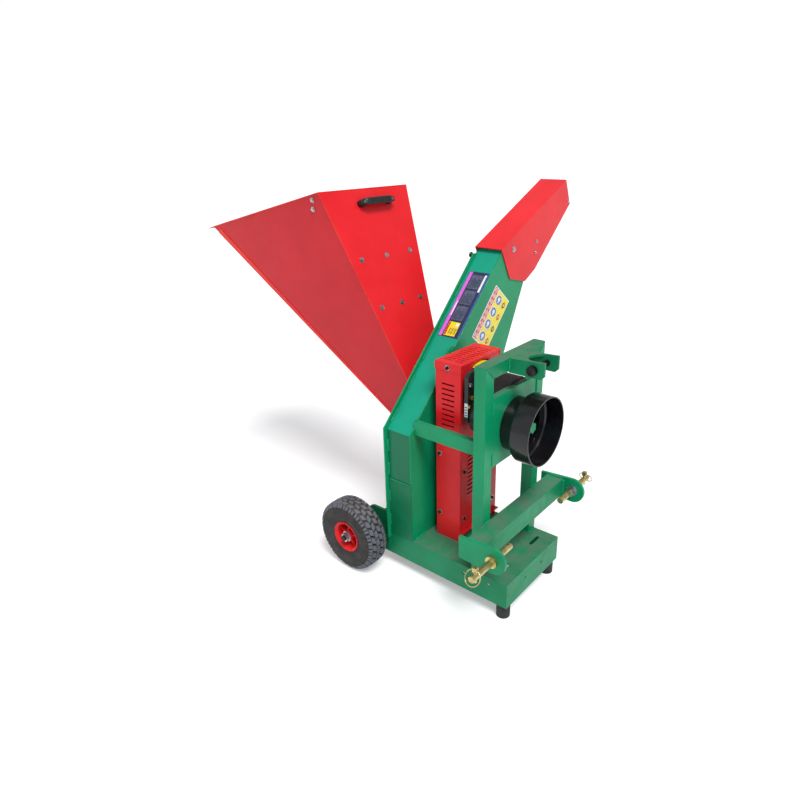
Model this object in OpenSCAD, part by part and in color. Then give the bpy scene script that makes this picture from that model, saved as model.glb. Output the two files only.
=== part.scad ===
// Tractor PTO wood chipper with a feed hopper, belt drive, three point hitch and transport wheels.
// Millimetres. +X points at the tractor, +Y is the side the chips are thrown to, +Z is up.
// The origin is on the ground under the middle of the overall box.

/* [Base and wheels] */
// Width of the base tray across Y
base_w = 327; // [260:1:420]
// Length of the base tray along X
base_len = 520; // [480:1:640]
// Height of the rubber feet, which is also the underside of the tray
foot_h = 48; // [30:1:80]
// Height of the folded tray
tray_h = 89; // [60:1:120]
// Sheet thickness of the tray
tray_t = 4; // [3:0.5:6]
// Radius of a rubber foot
foot_r = 22.5; // [15:0.5:35]
// Outside radius of the pneumatic tyres
tyre_r = 130; // [110:1:200]
// Width of a tyre
tyre_w = 85; // [60:1:110]
// Distance between the wheel centre planes
track = 483; // [420:1:600]
// Distance of the axle behind the front end of the tray
axle_back = 589; // [540:1:700]
// Radius of the axle
axle_r = 10; // [8:0.5:15]

/* [Rotor housing and chute] */
// Distance from the front end of the tray to the rear housing plate
housing_back = 484; // [430:1:520]
// Depth of the housing along X
housing_d = 104; // [80:1:140]
// Thickness of the two housing plates
plate_t = 5; // [3:0.5:8]
// Thickness of the bent wall sheets
wall_t = 4; // [3:0.5:6]
// Height above ground where the back wall starts to lean
bend_z = 535; // [480:1:600]
// Lean of the chute back wall, from horizontal
lean = 45.2; // [40:0.1:60]
// Radius of the cutter disc
disc_r = 142; // [110:1:146]
// Rotor axis, sideways
rotor_y = 14; // [-10:1:20]
// Rotor axis above ground
rotor_z = 300; // [290:1:330]
// Radius of the rotor shaft
shaft_r = 18; // [14:0.5:25]

/* [Hood] */
// Length of the deflector hood
hood_len = 490; // [380:1:600]
// Height of the hood side at its deepest point
hood_drop = 196; // [150:1:240]
// Rise of the hood top as it is set
hood_tilt = 24.9; // [15:0.1:40]

/* [Hopper] */
// Width of the hopper mouth
mouth_w = 422; // [320:1:520]
// Sheet thickness of the hopper
hop_t = 2.5; // [2:0.5:5]
// Width of the throat at its top edge
throat_w = 154; // [120:1:180]

/* [Belt drive and guard] */
// Width of the guard across Y
guard_w = 217; // [190:1:260]
// Depth of the guard along X
guard_d = 98; // [90:1:120]
// Height of the guard lid above ground
guard_top = 776; // [770:1:820]
// Outside radius of both pulleys
pulley_r = 64; // [50:1:80]
// Height of the gearbox output shaft
out_z = 672; // [660:1:700]
// Sideways place of the gearbox output shaft
out_y = 38; // [20:1:50]

/* [Mast and hitch] */
// Side of the square mast tube
tube = 40; // [30:1:50]
// Height of the mast above ground
mast_top = 827; // [780:1:880]
// Height of the PTO shaft above ground
pto_z = 605; // [560:1:620]
// Length of the lower hitch beam
beam_len = 484; // [420:1:620]
// Height of the lower hitch pins above ground
pin_z = 284; // [260:1:310]
// Radius of the lower hitch pins
pin_r = 11; // [9:0.5:14]
// Radius of the top link pin
top_pin_r = 9.5; // [8:0.5:13]
// Radius of the PTO guard cup
cup_r = 109; // [95:1:120]

/* [Hidden] */
base_top = foot_h + tray_h;
hw = base_w/2;
run = 0.05;
gap = 0.3;
// housing stations along X
hx0 = -housing_back;
hx1 = hx0 + housing_d;
in0 = hx0 + plate_t;
in1 = hx1 - plate_t;
// chute outline
sl = tan(lean);
top_y = 350;
top_z = bend_z + (top_y + hw)*sl;
right_z = 233;
right_slope = 0.4876;
end_z = 936;
end_y = hw + (end_z - right_z)*right_slope;
lip = 15;
lip_end = 326;
piv_y = 415;
piv_z = top_z - 2.6;
tab_r = 34;
// hopper section in XZ
bx = -771;
bz = 1261;
ax = -1375;
az = 1112;
thr_top = 560;
thr_bot = 373;
hop_y = 84;
// clearance between the flange and the outside of the hopper panels
throat_gap = 0.5;
mh = mouth_w/2;
th = throat_w/2;
front_a = atan2(bz - thr_top, hx0 - bx);
bottom_a = atan2(az - thr_bot, hx0 - ax);
mouth_a = atan2(bz - az, bx - ax);
// the front panel rises over the thickness of the flange, so the flange hole is taller there
flange_top = thr_top + 4*tan(front_a) + throat_gap;
// side panel: y moves by ky per metre of x and kz per metre of z
kx = 0.04287;
kz = (mh - th + kx*(bx - hx0))/(bz - thr_top);
// guard
gx1 = -250;
gx0 = gx1 - guard_d;
gy = 38;
gh = guard_w/2;
cut_r = 95;
guard_rows = [228, 454];
// mast
mx1 = -95;
mx0 = mx1 - tube;
arm_z = 558;
arm_h = 46;
arm_w = 20;
plate_x = mx1 - 6;
spline_end = -30;
cross_z0 = 500;
cross_z1 = 724;
beam_d = 60;
beam_h = 64;
beam_z = 287;
ear_t = 10;
ear_r = 44;
lug_y = 45;
lug_t = 8;
lug_h = 44;
lug_x = 20;
lug_rise = 7;
tpin_x = -16;
tpin_z = 807;
// belt drive
shaft_gap = sqrt((out_y - rotor_y)*(out_y - rotor_y) + (out_z - rotor_z)*(out_z - rotor_z));
belt_a = atan2(out_y - rotor_y, out_z - rotor_z);
pul_x0 = gx0 + 16;
pul_w = 54;
groove = 13.2;
pitch = 17;
// wheels
wy = track/2;
wheel_x = -axle_back;
bracket_t = 8;
hub_w = 60;
// overall box, to put the origin under its middle
lip_l = 38;
lip_dip = 0.8;
pin_out = 358;
ring_lean = 32;
seat_end = beam_len/2 + ear_t + 10 + 68;
x_lo = ax - lip_l*cos(mouth_a) + lip_dip*sin(mouth_a);
x_hi = ear_r;
hood_s = hood_len - 69;
y_hi = piv_y + hood_s*cos(hood_tilt) + 59*sin(hood_tilt);
ring_y = pin_out - 20 + 48*sin(ring_lean) + 1.7;
y_lo = -max(pin_out, ring_y);
ox = -(x_lo + x_hi)/2;
oy = -(y_lo + y_hi)/2;

green = [0.10, 0.52, 0.36];
red = [0.80, 0.12, 0.14];
black = [0.08, 0.08, 0.09];
rubber = [0.10, 0.10, 0.10];
steel = [0.62, 0.63, 0.65];
zinc = [0.80, 0.72, 0.42];
brass = [0.80, 0.62, 0.25];

// Which node to draw

// ---- helpers ----
module placed() {
  translate([ox, oy, 0]) children();
}

// flat plate in the YZ plane from x0 to x1
module yz_plate(x0, x1) {
  translate([x0, 0, 0]) rotate([90, 0, 90]) linear_extrude(x1 - x0) children();
}

// flat plate in the XZ plane from y0 to y1
module xz_plate(y0, y1) {
  translate([0, y1, 0]) rotate([90, 0, 0]) linear_extrude(y1 - y0) children();
}

module xcyl(x0, x1, y, z, r, n = 48) {
  translate([x0, y, z]) rotate([0, 90, 0]) cylinder(h = x1 - x0, r = r, $fn = n);
}

module ycyl(y0, y1, x, z, r, n = 48) {
  translate([x, y0, z]) rotate([-90, 0, 0]) cylinder(h = y1 - y0, r = r, $fn = n);
}

module zcyl(z0, z1, x, y, r, n = 48) {
  translate([x, y, z0]) cylinder(h = z1 - z0, r = r, $fn = n);
}

module box(a, b) {
  translate(a) cube([b[0] - a[0], b[1] - a[1], b[2] - a[2]]);
}

// rounded slot in plan, long axis along the local Y
module slot2d(len, w) {
  square([w, len - w], center = true);
  translate([0, (len - w)/2]) circle(r = w/2, $fn = 24);
  translate([0, -(len - w)/2]) circle(r = w/2, $fn = 24);
}

// hexagon head screw along +X, shank going back from its seat
module screw_x(x, y, z, r, back, head_r, head_h) {
  xcyl(x - back, x, y, z, r, 24);
  xcyl(x, x + head_h, y, z, head_r, 6);
}

// same along +Y or -Y, dir is 1 or -1
module screw_y(x, y, z, r, back, head_r, head_h, dir) {
  ycyl(dir > 0 ? y - back : y, dir > 0 ? y : y + back, x, z, r, 24);
  ycyl(dir > 0 ? y : y - head_h, dir > 0 ? y + head_h : y, x, z, head_r, 6);
}

// ---- base ----
module base_tray() {
  color(green) placed() difference() {
    union() {
      difference() {
        box([-base_len, -hw, foot_h], [0, hw, base_top]);
        box([-base_len + tray_t, -hw + tray_t, foot_h - 1], [-tray_t, hw - tray_t, base_top - tray_t]);
      }
      for (s = [-1, 1]) {
        box([-base_len + 1, s > 0 ? hw - 18 : -hw + 1, foot_h], [-1, s > 0 ? hw - 1 : -hw + 18,
            foot_h + tray_t]);
        box([-54, s > 0 ? hw - 52 : -hw + 1, foot_h], [-1, s > 0 ? hw - 1 : -hw + 52, foot_h + tray_t]);
      }
    }
    for (s = [-1, 1]) {
      zcyl(foot_h - 1, foot_h + tray_t + 1, -25, s*(hw - 24), 4.5, 24);
      translate([-55, s*96, base_top - tray_t - 1]) linear_extrude(tray_t + 2) slot2d(58, 12);
      xcyl(-tray_t - 1, 1, s*51, base_top - 38, 5, 24);
      for (x = [-164, -69]) {
        ycyl(s > 0 ? hw - tray_t - 1 : -hw - 1, s > 0 ? hw + 1 : -hw + tray_t + 1, x, base_top - 29, 5, 24);
      }
    }
  }
}

module rubber_feet() {
  color(rubber) placed() for (s = [-1, 1]) {
    difference() {
      zcyl(0, foot_h, -25, s*(hw - 24), foot_r);
      zcyl(-1, 16, -25, s*(hw - 24), 11, 32);
      zcyl(15, foot_h + 1, -25, s*(hw - 24), 4.3, 24);
    }
  }
}

module foot_bolts() {
  color(steel) placed() for (s = [-1, 1]) {
    zcyl(9, 16, -25, s*(hw - 24), 8, 6);
    zcyl(15, foot_h + tray_t + 13, -25, s*(hw - 24), 4, 24);
    difference() {
      zcyl(foot_h + tray_t, foot_h + tray_t + 7, -25, s*(hw - 24), 8, 6);
      zcyl(foot_h, foot_h + tray_t + 8, -25, s*(hw - 24), 4, 24);
    }
  }
}

// ---- wheels ----
module axle() {
  color(steel) placed() ycyl(-wy - hub_w/2 - 21, wy + hub_w/2 + 21, wheel_x, tyre_r, axle_r);
}

module bracket_shape() {
  difference() {
    union() {
      hull() {
        translate([wheel_x, tyre_r]) circle(r = 34, $fn = 48);
        translate([-548, 190]) circle(r = 30, $fn = 48);
        translate([hx0 - 26, foot_h + 12]) square([26 - gap, 160]);
      }
    }
    translate([wheel_x, tyre_r]) circle(r = axle_r, $fn = 48);
  }
}

module axle_brackets() {
  color(green) placed() {
    xz_plate(hw, hw + bracket_t) bracket_shape();
    xz_plate(-hw - bracket_t, -hw) bracket_shape();
  }
}

module y_ring(y0, y1, r_out, r_in) {
  difference() {
    ycyl(y0, y1, wheel_x, tyre_r, r_out);
    ycyl(y0 - 1, y1 + 1, wheel_x, tyre_r, r_in);
  }
}

module axle_spacer_rings() {
  color(steel) placed() {
    y_ring(hw + bracket_t, wy - hub_w/2 - gap, 16, axle_r);
    y_ring(-wy + hub_w/2 + gap, -hw - bracket_t, 16, axle_r);
    y_ring(wy + hub_w/2 + gap, wy + hub_w/2 + 3, 19, axle_r);
    y_ring(-wy - hub_w/2 - 3, -wy - hub_w/2 - gap, 19, axle_r);
  }
}

module axle_nuts() {
  color(zinc) placed() for (s = [-1, 1]) {
    difference() {
      ycyl(s > 0 ? wy + hub_w/2 + 3 : -wy - hub_w/2 - 15, s > 0 ? wy + hub_w/2 + 15 : -wy - hub_w/2 - 3,
        wheel_x, tyre_r, 16, 6);
      ycyl(s > 0 ? wy : -wy - 70, s > 0 ? wy + 70 : -wy, wheel_x, tyre_r, axle_r);
    }
  }
}

module tyre_shape() {
  h = tyre_w/2;
  difference() {
    polygon([[50, -h + 13], [56, -h + 9], [72, -h + 2], [92, -h], [tyre_r - 22, -h + 1],
        [tyre_r - 9, -h + 7],
      [tyre_r - 2, -h + 16], [tyre_r, -h + 26], [tyre_r, h - 26], [tyre_r - 2, h - 16], [tyre_r - 9, h - 7],
      [tyre_r - 22, h - 1], [92, h], [72, h - 2], [56, h - 9], [50, h - 13]]);
    polygon([[40, -h + 20], [60, -h + 17], [90, -h + 9], [tyre_r - 20, -h + 12], [tyre_r - 12, -h + 24],
      [tyre_r - 12, h - 24], [tyre_r - 20, h - 12], [90, h - 9], [60, h - 17], [40, h - 20]]);
    for (y = [-11, 11]) {
      translate([tyre_r - 4, y - 2]) square([6, 4]);
    }
  }
}

module tyre_at(y) {
  translate([wheel_x, y, tyre_r]) rotate([90, 0, 0]) rotate_extrude($fn = 72) tyre_shape();
}

module tyre_left() {
  color(rubber) placed() tyre_at(wy);
}

module tyre_right() {
  color(rubber) placed() tyre_at(-wy);
}

module rim_section() {
  h = tyre_w/2;
  // hub, web, barrel and the two bead flanges
  translate([14, -hub_w/2]) square([7, hub_w]);
  translate([20, -3]) square([26, 6]);
  translate([45, -h + 7]) square([4.8, tyre_w - 14]);
  translate([49, -h + 4]) square([7, 4]);
  translate([49, h - 8]) square([7, 4]);
}

module rim_at(y) {
  translate([wheel_x, y, tyre_r]) rotate([90, 0, 0]) {
    rotate_extrude($fn = 72) rim_section();
    for (a = [0:72:288]) {
      rotate([0, 0, a + 18]) translate([20, -2.5, -26]) cube([26, 5, 52]);
    }
  }
}

module rim_left() {
  color(red) placed() rim_at(wy);
}

module rim_right() {
  color(red) placed() rim_at(-wy);
}

module bushes_at(y) {
  for (s = [-1, 1]) {
    difference() {
      ycyl(y + (s > 0 ? hub_w/2 - 22 : -hub_w/2), y + (s > 0 ? hub_w/2 : -hub_w/2 + 22), wheel_x,
          tyre_r, 14);
      ycyl(y - hub_w, y + hub_w, wheel_x, tyre_r, axle_r + run);
    }
  }
}

module wheel_bushes_left() {
  color(black) placed() bushes_at(wy);
}

module wheel_bushes_right() {
  color(black) placed() bushes_at(-wy);
}

// ---- rotor housing and chute ----
module chute_outline() {
  polygon([[-hw, base_top], [-hw, bend_z], [top_y, top_z], [piv_y - 23, piv_z + 25], [piv_y, piv_z + tab_r],
    [piv_y + 23, piv_z + 25], [piv_y + tab_r, piv_z], [end_y, end_z], [hw, right_z], [hw, base_top]]);
}

module lip_outline() {
  dy = lip*sin(lean);
  dz = lip*cos(lean);
  polygon([[-hw - lip, base_top - 18], [-hw - lip, bend_z + lip*(1 - sl)*0.5 + 6], [lip_end - dy,
      bend_z + (lip_end + hw)*sl + dz],
    [lip_end + 8, bend_z + (lip_end + 8 + hw)*sl], [-hw, bend_z], [-hw, base_top - 18]]);
}

// the hopper opening in the rear plate, inset by e from the hopper's outer corners
module throat_shape(e) {
  polygon([[side_y(hx0, thr_bot, e), thr_bot + e/cos(bottom_a)], [side_y(hx0, thr_top, e),
      thr_top - e/cos(front_a)],
    [2*hop_y - side_y(hx0, thr_top, e), thr_top - e/cos(front_a)],
    [2*hop_y - side_y(hx0, thr_bot, e), thr_bot + e/cos(bottom_a)]]);
}

module housing_rear_plate() {
  color(green) placed() difference() {
    yz_plate(hx0, in0) union() {
      chute_outline();
      lip_outline();
    }
    xcyl(hx0 - 1, in0 + 1, rotor_y, rotor_z, 30);
    xcyl(hx0 - 1, in0 + 1, piv_y, piv_z, 5, 24);
    yz_plate(hx0 - 1, in0 + 1) throat_shape(hop_t);
    for (p = flange_holes) {
      xcyl(hx0 - 1, in0 + 1, p[0], p[1], 4, 24);
    }
    for (a = [45:90:315]) {
      xcyl(hx0 - 1, in0 + 1, rotor_y + 46*cos(a), rotor_z + 46*sin(a), 5, 24);
    }
  }
}

module housing_front_plate() {
  color(green) placed() difference() {
    union() {
      yz_plate(in1, hx1) chute_outline();
      xcyl(in1, hx1 + 4, 52, bend_z + (52 + hw)*sl + 10, 20, 32);
      xcyl(hx1, hx1 + 9, 52, bend_z + (52 + hw)*sl + 14, 11, 32);
    }
    xcyl(in1 - 1, hx1 + 1, rotor_y, rotor_z, 30);
    xcyl(in1 - 1, hx1 + 1, piv_y, piv_z, 5, 24);
    for (a = [45:90:315]) {
      xcyl(in1 - 1, hx1 + 1, rotor_y + 46*cos(a), rotor_z + 46*sin(a), 5, 24);
    }
  }
}

module chute_back_wall() {
  ty = wall_t*sin(lean);
  tz = wall_t*cos(lean);
  color(green) placed() yz_plate(in0, in1)
    polygon([[-hw, 340], [-hw, bend_z], [top_y, top_z], [top_y + ty, top_z - tz],
      [-hw + wall_t, bend_z + wall_t*sl - wall_t/cos(lean)], [-hw + wall_t, 340]]);
}

module housing_side_wall() {
  color(green) placed() {
    box([in0, -hw, base_top], [in1, -hw + wall_t, 340]);
    box([in0, -hw - 2.5, 332], [hx1, -hw, 352]);
    box([in0, -hw - 2.5, base_top], [hx1, -hw, 338]);
  }
}

module chute_outer_wall() {
  e = wall_t*sqrt(1 + right_slope*right_slope);
  color(green) placed() yz_plate(in0, in1)
    polygon([[hw, base_top], [hw, right_z], [end_y, end_z], [end_y - e, end_z],
      [hw - wall_t, right_z + (e - wall_t)/right_slope], [hw - wall_t, base_top]]);
}

// ---- rotor ----
module flange_bearing(x0, x1) {
  difference() {
    union() {
      xcyl(x0, x1, rotor_y, rotor_z, 36);
      hull() {
        for (a = [45:90:315]) {
          xcyl(x0 < hx0 ? x1 - 9 : x0, x0 < hx0 ? x1 : x0 + 9, rotor_y + 46*cos(a),
              rotor_z + 46*sin(a), 11, 32);
        }
      }
    }
    xcyl(x0 - 1, x1 + 1, rotor_y, rotor_z, shaft_r + run);
    for (a = [45:90:315]) {
      xcyl(x0 - 1, x1 + 1, rotor_y + 46*cos(a), rotor_z + 46*sin(a), 5, 24);
    }
  }
}

module rotor_bearings() {
  color(black) placed() {
    flange_bearing(hx0 - 28, hx0);
    flange_bearing(hx1, hx1 + 28);
  }
}

module rotor_disc() {
  color(steel) placed() difference() {
    union() {
      xcyl(in0 + 9, in0 + 23, rotor_y, rotor_z, disc_r, 96);
      xcyl(in0 + 23, in1 - 12, rotor_y, rotor_z, 34);
      for (a = [0:90:270]) {
        translate([in0 + 22, rotor_y, rotor_z]) rotate([a, 0, 0]) translate([0, 30, -4])
          cube([in1 - in0 - 34, disc_r - 34, 8]);
      }
    }
    xcyl(hx0, hx1, rotor_y, rotor_z, shaft_r);
    for (a = [45, 225]) {
      translate([in0 + 8, rotor_y, rotor_z]) rotate([a, 0, 0]) translate([0, 42, -6]) cube([18, 84, 12]);
    }
    for (a = [45, 225]) {
      translate([in0 + 8, rotor_y, rotor_z]) rotate([a, 0, 0]) translate([0, 40, 5]) cube([7, 88, 46]);
    }
  }
}

module cutter_knives() {
  color(steel) placed() for (a = [45, 225]) {
    translate([in0 + 5, rotor_y, rotor_z]) rotate([a, 0, 0]) translate([0, 41, 5.5])
      difference() {
        cube([10, 86, 45]);
        translate([-1, -1, 0]) rotate([0, -32, 0]) translate([-20, 0, 0]) cube([20, 90, 30]);
      }
  }
}

module rotor_shaft() {
  color(steel) placed() {
    xcyl(hx0 - 34, pul_x0 + pul_w + 8, rotor_y, rotor_z, shaft_r);
  }
}

module anvil_blade() {
  color(steel) placed() box([in0, 50, thr_bot - 20], [in0 + 3.5, 118, thr_bot + 2]);
}

// ---- belt drive ----
module pulley_at(y, z, bore) {
  difference() {
    xcyl(pul_x0, pul_x0 + pul_w, y, z, pulley_r, 64);
    for (i = [0:2]) {
      difference() {
        xcyl(pul_x0 + 3 + i*pitch, pul_x0 + 3 + i*pitch + groove + 0.8, y, z, pulley_r + 2, 64);
        xcyl(pul_x0, pul_x0 + pul_w, y, z, pulley_r - 13, 64);
      }
    }
    xcyl(pul_x0 - 1, pul_x0 + 10, y, z, pulley_r - 18, 64);
    xcyl(pul_x0 + pul_w - 10, pul_x0 + pul_w + 1, y, z, pulley_r - 18, 64);
    xcyl(pul_x0 - 1, pul_x0 + pul_w + 1, y, z, bore);
  }
  difference() {
    xcyl(pul_x0, pul_x0 + pul_w, y, z, bore + 12);
    xcyl(pul_x0 - 1, pul_x0 + pul_w + 1, y, z, bore);
  }
}

module driven_pulley() {
  color(steel) placed() pulley_at(rotor_y, rotor_z, shaft_r);
}

module drive_pulley() {
  color(steel) placed() {
    pulley_at(out_y, out_z, 14);
    xcyl(pul_x0 - 4, gx1 - 12, out_y, out_z, 14, 32);
  }
}

// flat outline of a belt, along the line between the shafts
module belt_loop(r) {
  translate([-r, 0]) square([2*r, shaft_gap]);
  circle(r = r, $fn = 64);
  translate([0, shaft_gap]) circle(r = r, $fn = 64);
}

module drive_belts() {
  color(rubber) placed() for (i = [0:2]) {
    x0 = pul_x0 + 3.4 + i*pitch;
    difference() {
      translate([0, rotor_y, rotor_z]) rotate([-belt_a, 0, 0])
        yz_plate(x0, x0 + groove) belt_loop(pulley_r - 1);
      translate([0, rotor_y, rotor_z]) rotate([-belt_a, 0, 0])
        yz_plate(x0 - 1, x0 + groove + 1) belt_loop(pulley_r - 12.6);
    }
  }
}

// ---- belt guard ----
module guard_back_plate() {
  color(red) placed() difference() {
    union() {
      box([gx0, gy - gh + 2, base_top], [gx0 + 2, gy + gh - 2, guard_top - 4]);
      for (s = [-1, 1]) {
        for (z = guard_rows) {
          box([gx0 + 1, s > 0 ? gy + gh - 4 : gy - gh + 2, z - 14], [gx0 + 24,
              s > 0 ? gy + gh - 2 : gy - gh + 4, z + 14]);
        }
      }
    }
    xcyl(gx0 - 1, gx0 + 3, rotor_y, rotor_z, shaft_r + 16);
    for (s = [-1, 1]) {
      for (z = guard_rows) {
        ycyl(s > 0 ? gy + gh - 6 : gy - gh, s > 0 ? gy + gh : gy - gh + 6, gx0 + 14, z, 3, 24);
      }
    }
  }
}

module louvres_x(n, z0, step, y0, len) {
  for (i = [0:n - 1]) {
    translate([gx1 - 4, y0, z0 + i*step]) cube([8, len, 5]);
  }
}

module guard_body() {
  color(red) placed() difference() {
    union() {
      box([gx0 + gap, gy - gh, base_top], [gx1, gy - gh + 2, guard_top - 3]);
      box([gx0 + gap, gy + gh - 2, base_top], [gx1, gy + gh, guard_top - 3]);
      box([gx1 - 2, gy - gh + 1, 172], [gx1, gy + gh - 1, guard_top - 3]);
      box([gx1 - 1, gy - gh, 172], [gx1 + 14, gy + gh, 174]);
    }
    xcyl(gx1 - 5, gx1 + 5, out_y, out_z, cut_r, 72);
    for (i = [0:9]) {
      box([gx0 + 24, gy - gh - 1, 543 + i*17.6], [gx0 + 73, gy - gh + 3, 548 + i*17.6]);
      box([gx0 + 24, gy + gh - 3, 543 + i*17.6], [gx0 + 73, gy + gh + 1, 548 + i*17.6]);
    }
    louvres_x(10, 306, 15.6, -28, 50);
    for (s = [-1, 1]) {
      for (z = guard_rows) {
        ycyl(s > 0 ? gy + gh - 4 : gy - gh - 2, s > 0 ? gy + gh + 2 : gy - gh + 4, gx0 + 14, z, 3, 24);
      }
      ycyl(s > 0 ? gy + gh - 4 : gy - gh - 2, s > 0 ? gy + gh + 2 : gy - gh + 4, gx0 + 48, 760, 3, 24);
    }
    for (y = [-47, 123]) {
      for (z = [222, 400]) {
        xcyl(gx1 - 4, gx1 + 2, y, z, 3, 24);
      }
    }
  }
}

module guard_lid() {
  color(red) placed() difference() {
    box([gx0 - 2, gy - gh - 2, 749], [gx1 + 2, gy + gh + 2, guard_top]);
    box([gx0 - 3, gy - gh, 740], [gx1, gy + gh, guard_top - 2]);
    box([gx1 - 1, gy - gh, 740], [gx1 + 3, gy + gh, 769]);
    for (i = [0:9]) {
      for (j = [0, 1]) {
        translate([gx0 + 14 + j*40, gy - gh + 26 + i*17, guard_top - 4]) cube([32, 5, 8]);
      }
    }
    for (s = [-1, 1]) {
      ycyl(s > 0 ? gy + gh - 1 : gy - gh - 3, s > 0 ? gy + gh + 3 : gy - gh + 1, gx0 + 48, 760, 3, 24);
    }
  }
}

module guard_screws() {
  color(steel) placed() {
    for (s = [-1, 1]) {
      for (z = guard_rows) {
        screw_y(gx0 + 14, gy + s*gh, z, 3, 9, 8, 4, s);
      }
      screw_y(gx0 + 48, gy + s*(gh + 2), 760, 3, 9, 8, 4, s);
    }
    for (y = [-47, 123]) {
      for (z = [222, 400]) {
        screw_x(gx1, y, z, 3, 9, 8, 4);
      }
    }
  }
}

// ---- gearbox and PTO ----
module gearbox_outline(r1, r2) {
  hull() {
    translate([out_y, out_z]) circle(r = r1, $fn = 64);
    translate([0, pto_z]) circle(r = r2, $fn = 64);
  }
}

// squared face plate that carries the cover
module gearbox_face() {
  hull() {
    for (y = [-70, 70]) {
      for (z = [606, 738]) {
        translate([20 + y, z]) circle(r = 20, $fn = 32);
      }
    }
  }
}

module gearbox_housing() {
  color(black) placed() difference() {
    union() {
      yz_plate(gx1 + 14, gx1 + 28) gearbox_face();
      yz_plate(gx1 + 27, plate_x - 12) gearbox_outline(68, 64);
      yz_plate(plate_x - 13, plate_x) gearbox_outline(60, 78);
    }
    xcyl(gx1, plate_x - 50, out_y, out_z, 40);
    xcyl(plate_x - 60, plate_x + 1, 0, pto_z, 22);
    for (y = [-62, 62]) {
      xcyl(plate_x - 14, plate_x + 1, y, pto_z, 5, 24);
    }
  }
}

module gearbox_cover() {
  color(black) placed() difference() {
    xcyl(gx1 - 10, gx1 + 14, out_y, out_z, cut_r - 5, 72);
    xcyl(gx1 - 11, gx1 + 15, out_y, out_z, 14 + run, 32);
  }
}

module gearbox_bolts() {
  color(steel) placed() {
    for (at = [[-60, 718], [100, 622], [100, 718]]) {
      xcyl(gx1 + 28, gx1 + 34, at[0], at[1], 7, 6);
    }
    for (y = [-62, 62]) {
      xcyl(plate_x - 13, mx1 + 5, y, pto_z, 5, 24);
      xcyl(mx1 + 4, mx1 + 12, y, pto_z, 9, 6);
    }
  }
}

module gearbox_plugs() {
  color(brass) placed() {
    xcyl(gx1 + 28, gx1 + 35, -50, 672, 8, 6);
    xcyl(gx1 + 28, gx1 + 35, -66, 648, 6, 6);
  }
}

module pto_shaft() {
  color(steel) placed() difference() {
    union() {
      xcyl(plate_x - 56, plate_x + 22, 0, pto_z, 21.95);
      xcyl(plate_x + 21, spline_end, 0, pto_z, 17.4, 64);
    }
    for (a = [0:60:300]) {
      translate([plate_x + 24, 0, pto_z]) rotate([a, 0, 0]) translate([0, 14.8, -4.4]) cube([120, 6, 8.8]);
    }
    translate([spline_end - 20, 0, pto_z]) rotate([0, 90, 0]) rotate_extrude($fn = 48) translate([18.4,
        0]) circle(r = 3.4, $fn = 24);
  }
}

module cross_plate() {
  color(green) placed() difference() {
    box([plate_x, -hw + tube, cross_z0], [mx1, hw - tube, cross_z1]);
    xcyl(plate_x - 1, mx1 + 1, 0, pto_z, 30);
    for (y = [-62, 62]) {
      xcyl(plate_x - 1, mx1 + 1, y, pto_z, 5, 24);
    }
  }
}

module pto_guard_cup() {
  color(black) placed() difference() {
    cup_body();
    for (y = [-62, 62]) {
      xcyl(mx1 - 1, mx1 + 8, y, pto_z, 5, 24);
    }
  }
}

module cup_body() {
  translate([mx1, 0, pto_z]) rotate([0, 90, 0]) rotate_extrude($fn = 96)
    polygon([[30, 0], [cup_r - 23, 0], [cup_r - 23, 38], [cup_r - 4, 44], [cup_r, 50], [cup_r, 110],
      [cup_r - 4, 110], [cup_r - 4, 52], [cup_r - 8, 47], [cup_r - 27, 42], [cup_r - 27, 6], [76,
          6], [76, 4], [30, 4]]);
}

// ---- mast ----
module post_shape() {
  polygon([[-hw, base_top], [-hw, mast_top], [-hw + tube, mast_top - tube], [-hw + tube, base_top]]);
}

module mast_post() {
  difference() {
    yz_plate(mx0, mx1) post_shape();
    box([mx0 + 3, -hw + 3, base_top - 1], [mx1 - 3, -hw + tube - 3, mast_top - tube - 6]);
  }
}

module mast_posts() {
  color(green) placed() {
    mast_post();
    mirror([0, 1, 0]) mast_post();
  }
}

module mast_top_bar() {
  color(green) placed() difference() {
    yz_plate(mx0, mx1) polygon([[-hw, mast_top], [hw, mast_top], [hw - tube, mast_top - tube],
      [-hw + tube, mast_top - tube]]);
    box([mx0 + 3, -hw + tube + 8, mast_top - tube + 3], [mx1 - 3, hw - tube - 8, mast_top - 3]);
  }
}

// stay between the housing and a post, from y0 to y1
module stay(y0, y1) {
  difference() {
    box([hx1, y0, arm_z - arm_h/2], [mx0, y1, arm_z + arm_h/2]);
    box([hx1 - 1, y0 + 3, arm_z - arm_h/2 + 3], [mx0 + 1, y1 - 3, arm_z + arm_h/2 - 3]);
  }
}

module mast_arms() {
  color(green) placed() {
    stay(-hw + tube - arm_w, -hw + tube);
    stay(hw - 14, hw);
  }
}

module top_link_bracket() {
  color(green) placed() difference() {
    union() {
      xz_plate(-lug_y, lug_y) polygon([[mx1, mast_top - lug_t], [lug_x, mast_top + lug_rise - lug_t],
        [lug_x, mast_top + lug_rise], [mx1, mast_top]]);
      for (s = [-1, 1]) {
        xz_plate(s > 0 ? lug_y - lug_t : -lug_y, s > 0 ? lug_y : -lug_y + lug_t)
          polygon([[mx1, mast_top - 1], [lug_x, mast_top + lug_rise - 1],
            [lug_x, mast_top - lug_h + 10], [lug_x - 10, mast_top - lug_h], [mx1, mast_top - lug_h]]);
      }
    }
    // rounded mouth that the eye of the top link swings in
    translate([tpin_x, 0, mast_top - 20]) cylinder(h = 40, r = lug_y - lug_t, $fn = 64);
    box([tpin_x, -lug_y + lug_t, mast_top - 20], [lug_x + 1, lug_y - lug_t, mast_top + 20]);
    ycyl(-lug_y - 1, lug_y + 1, tpin_x, tpin_z, top_pin_r + run, 48);
  }
}

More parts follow.
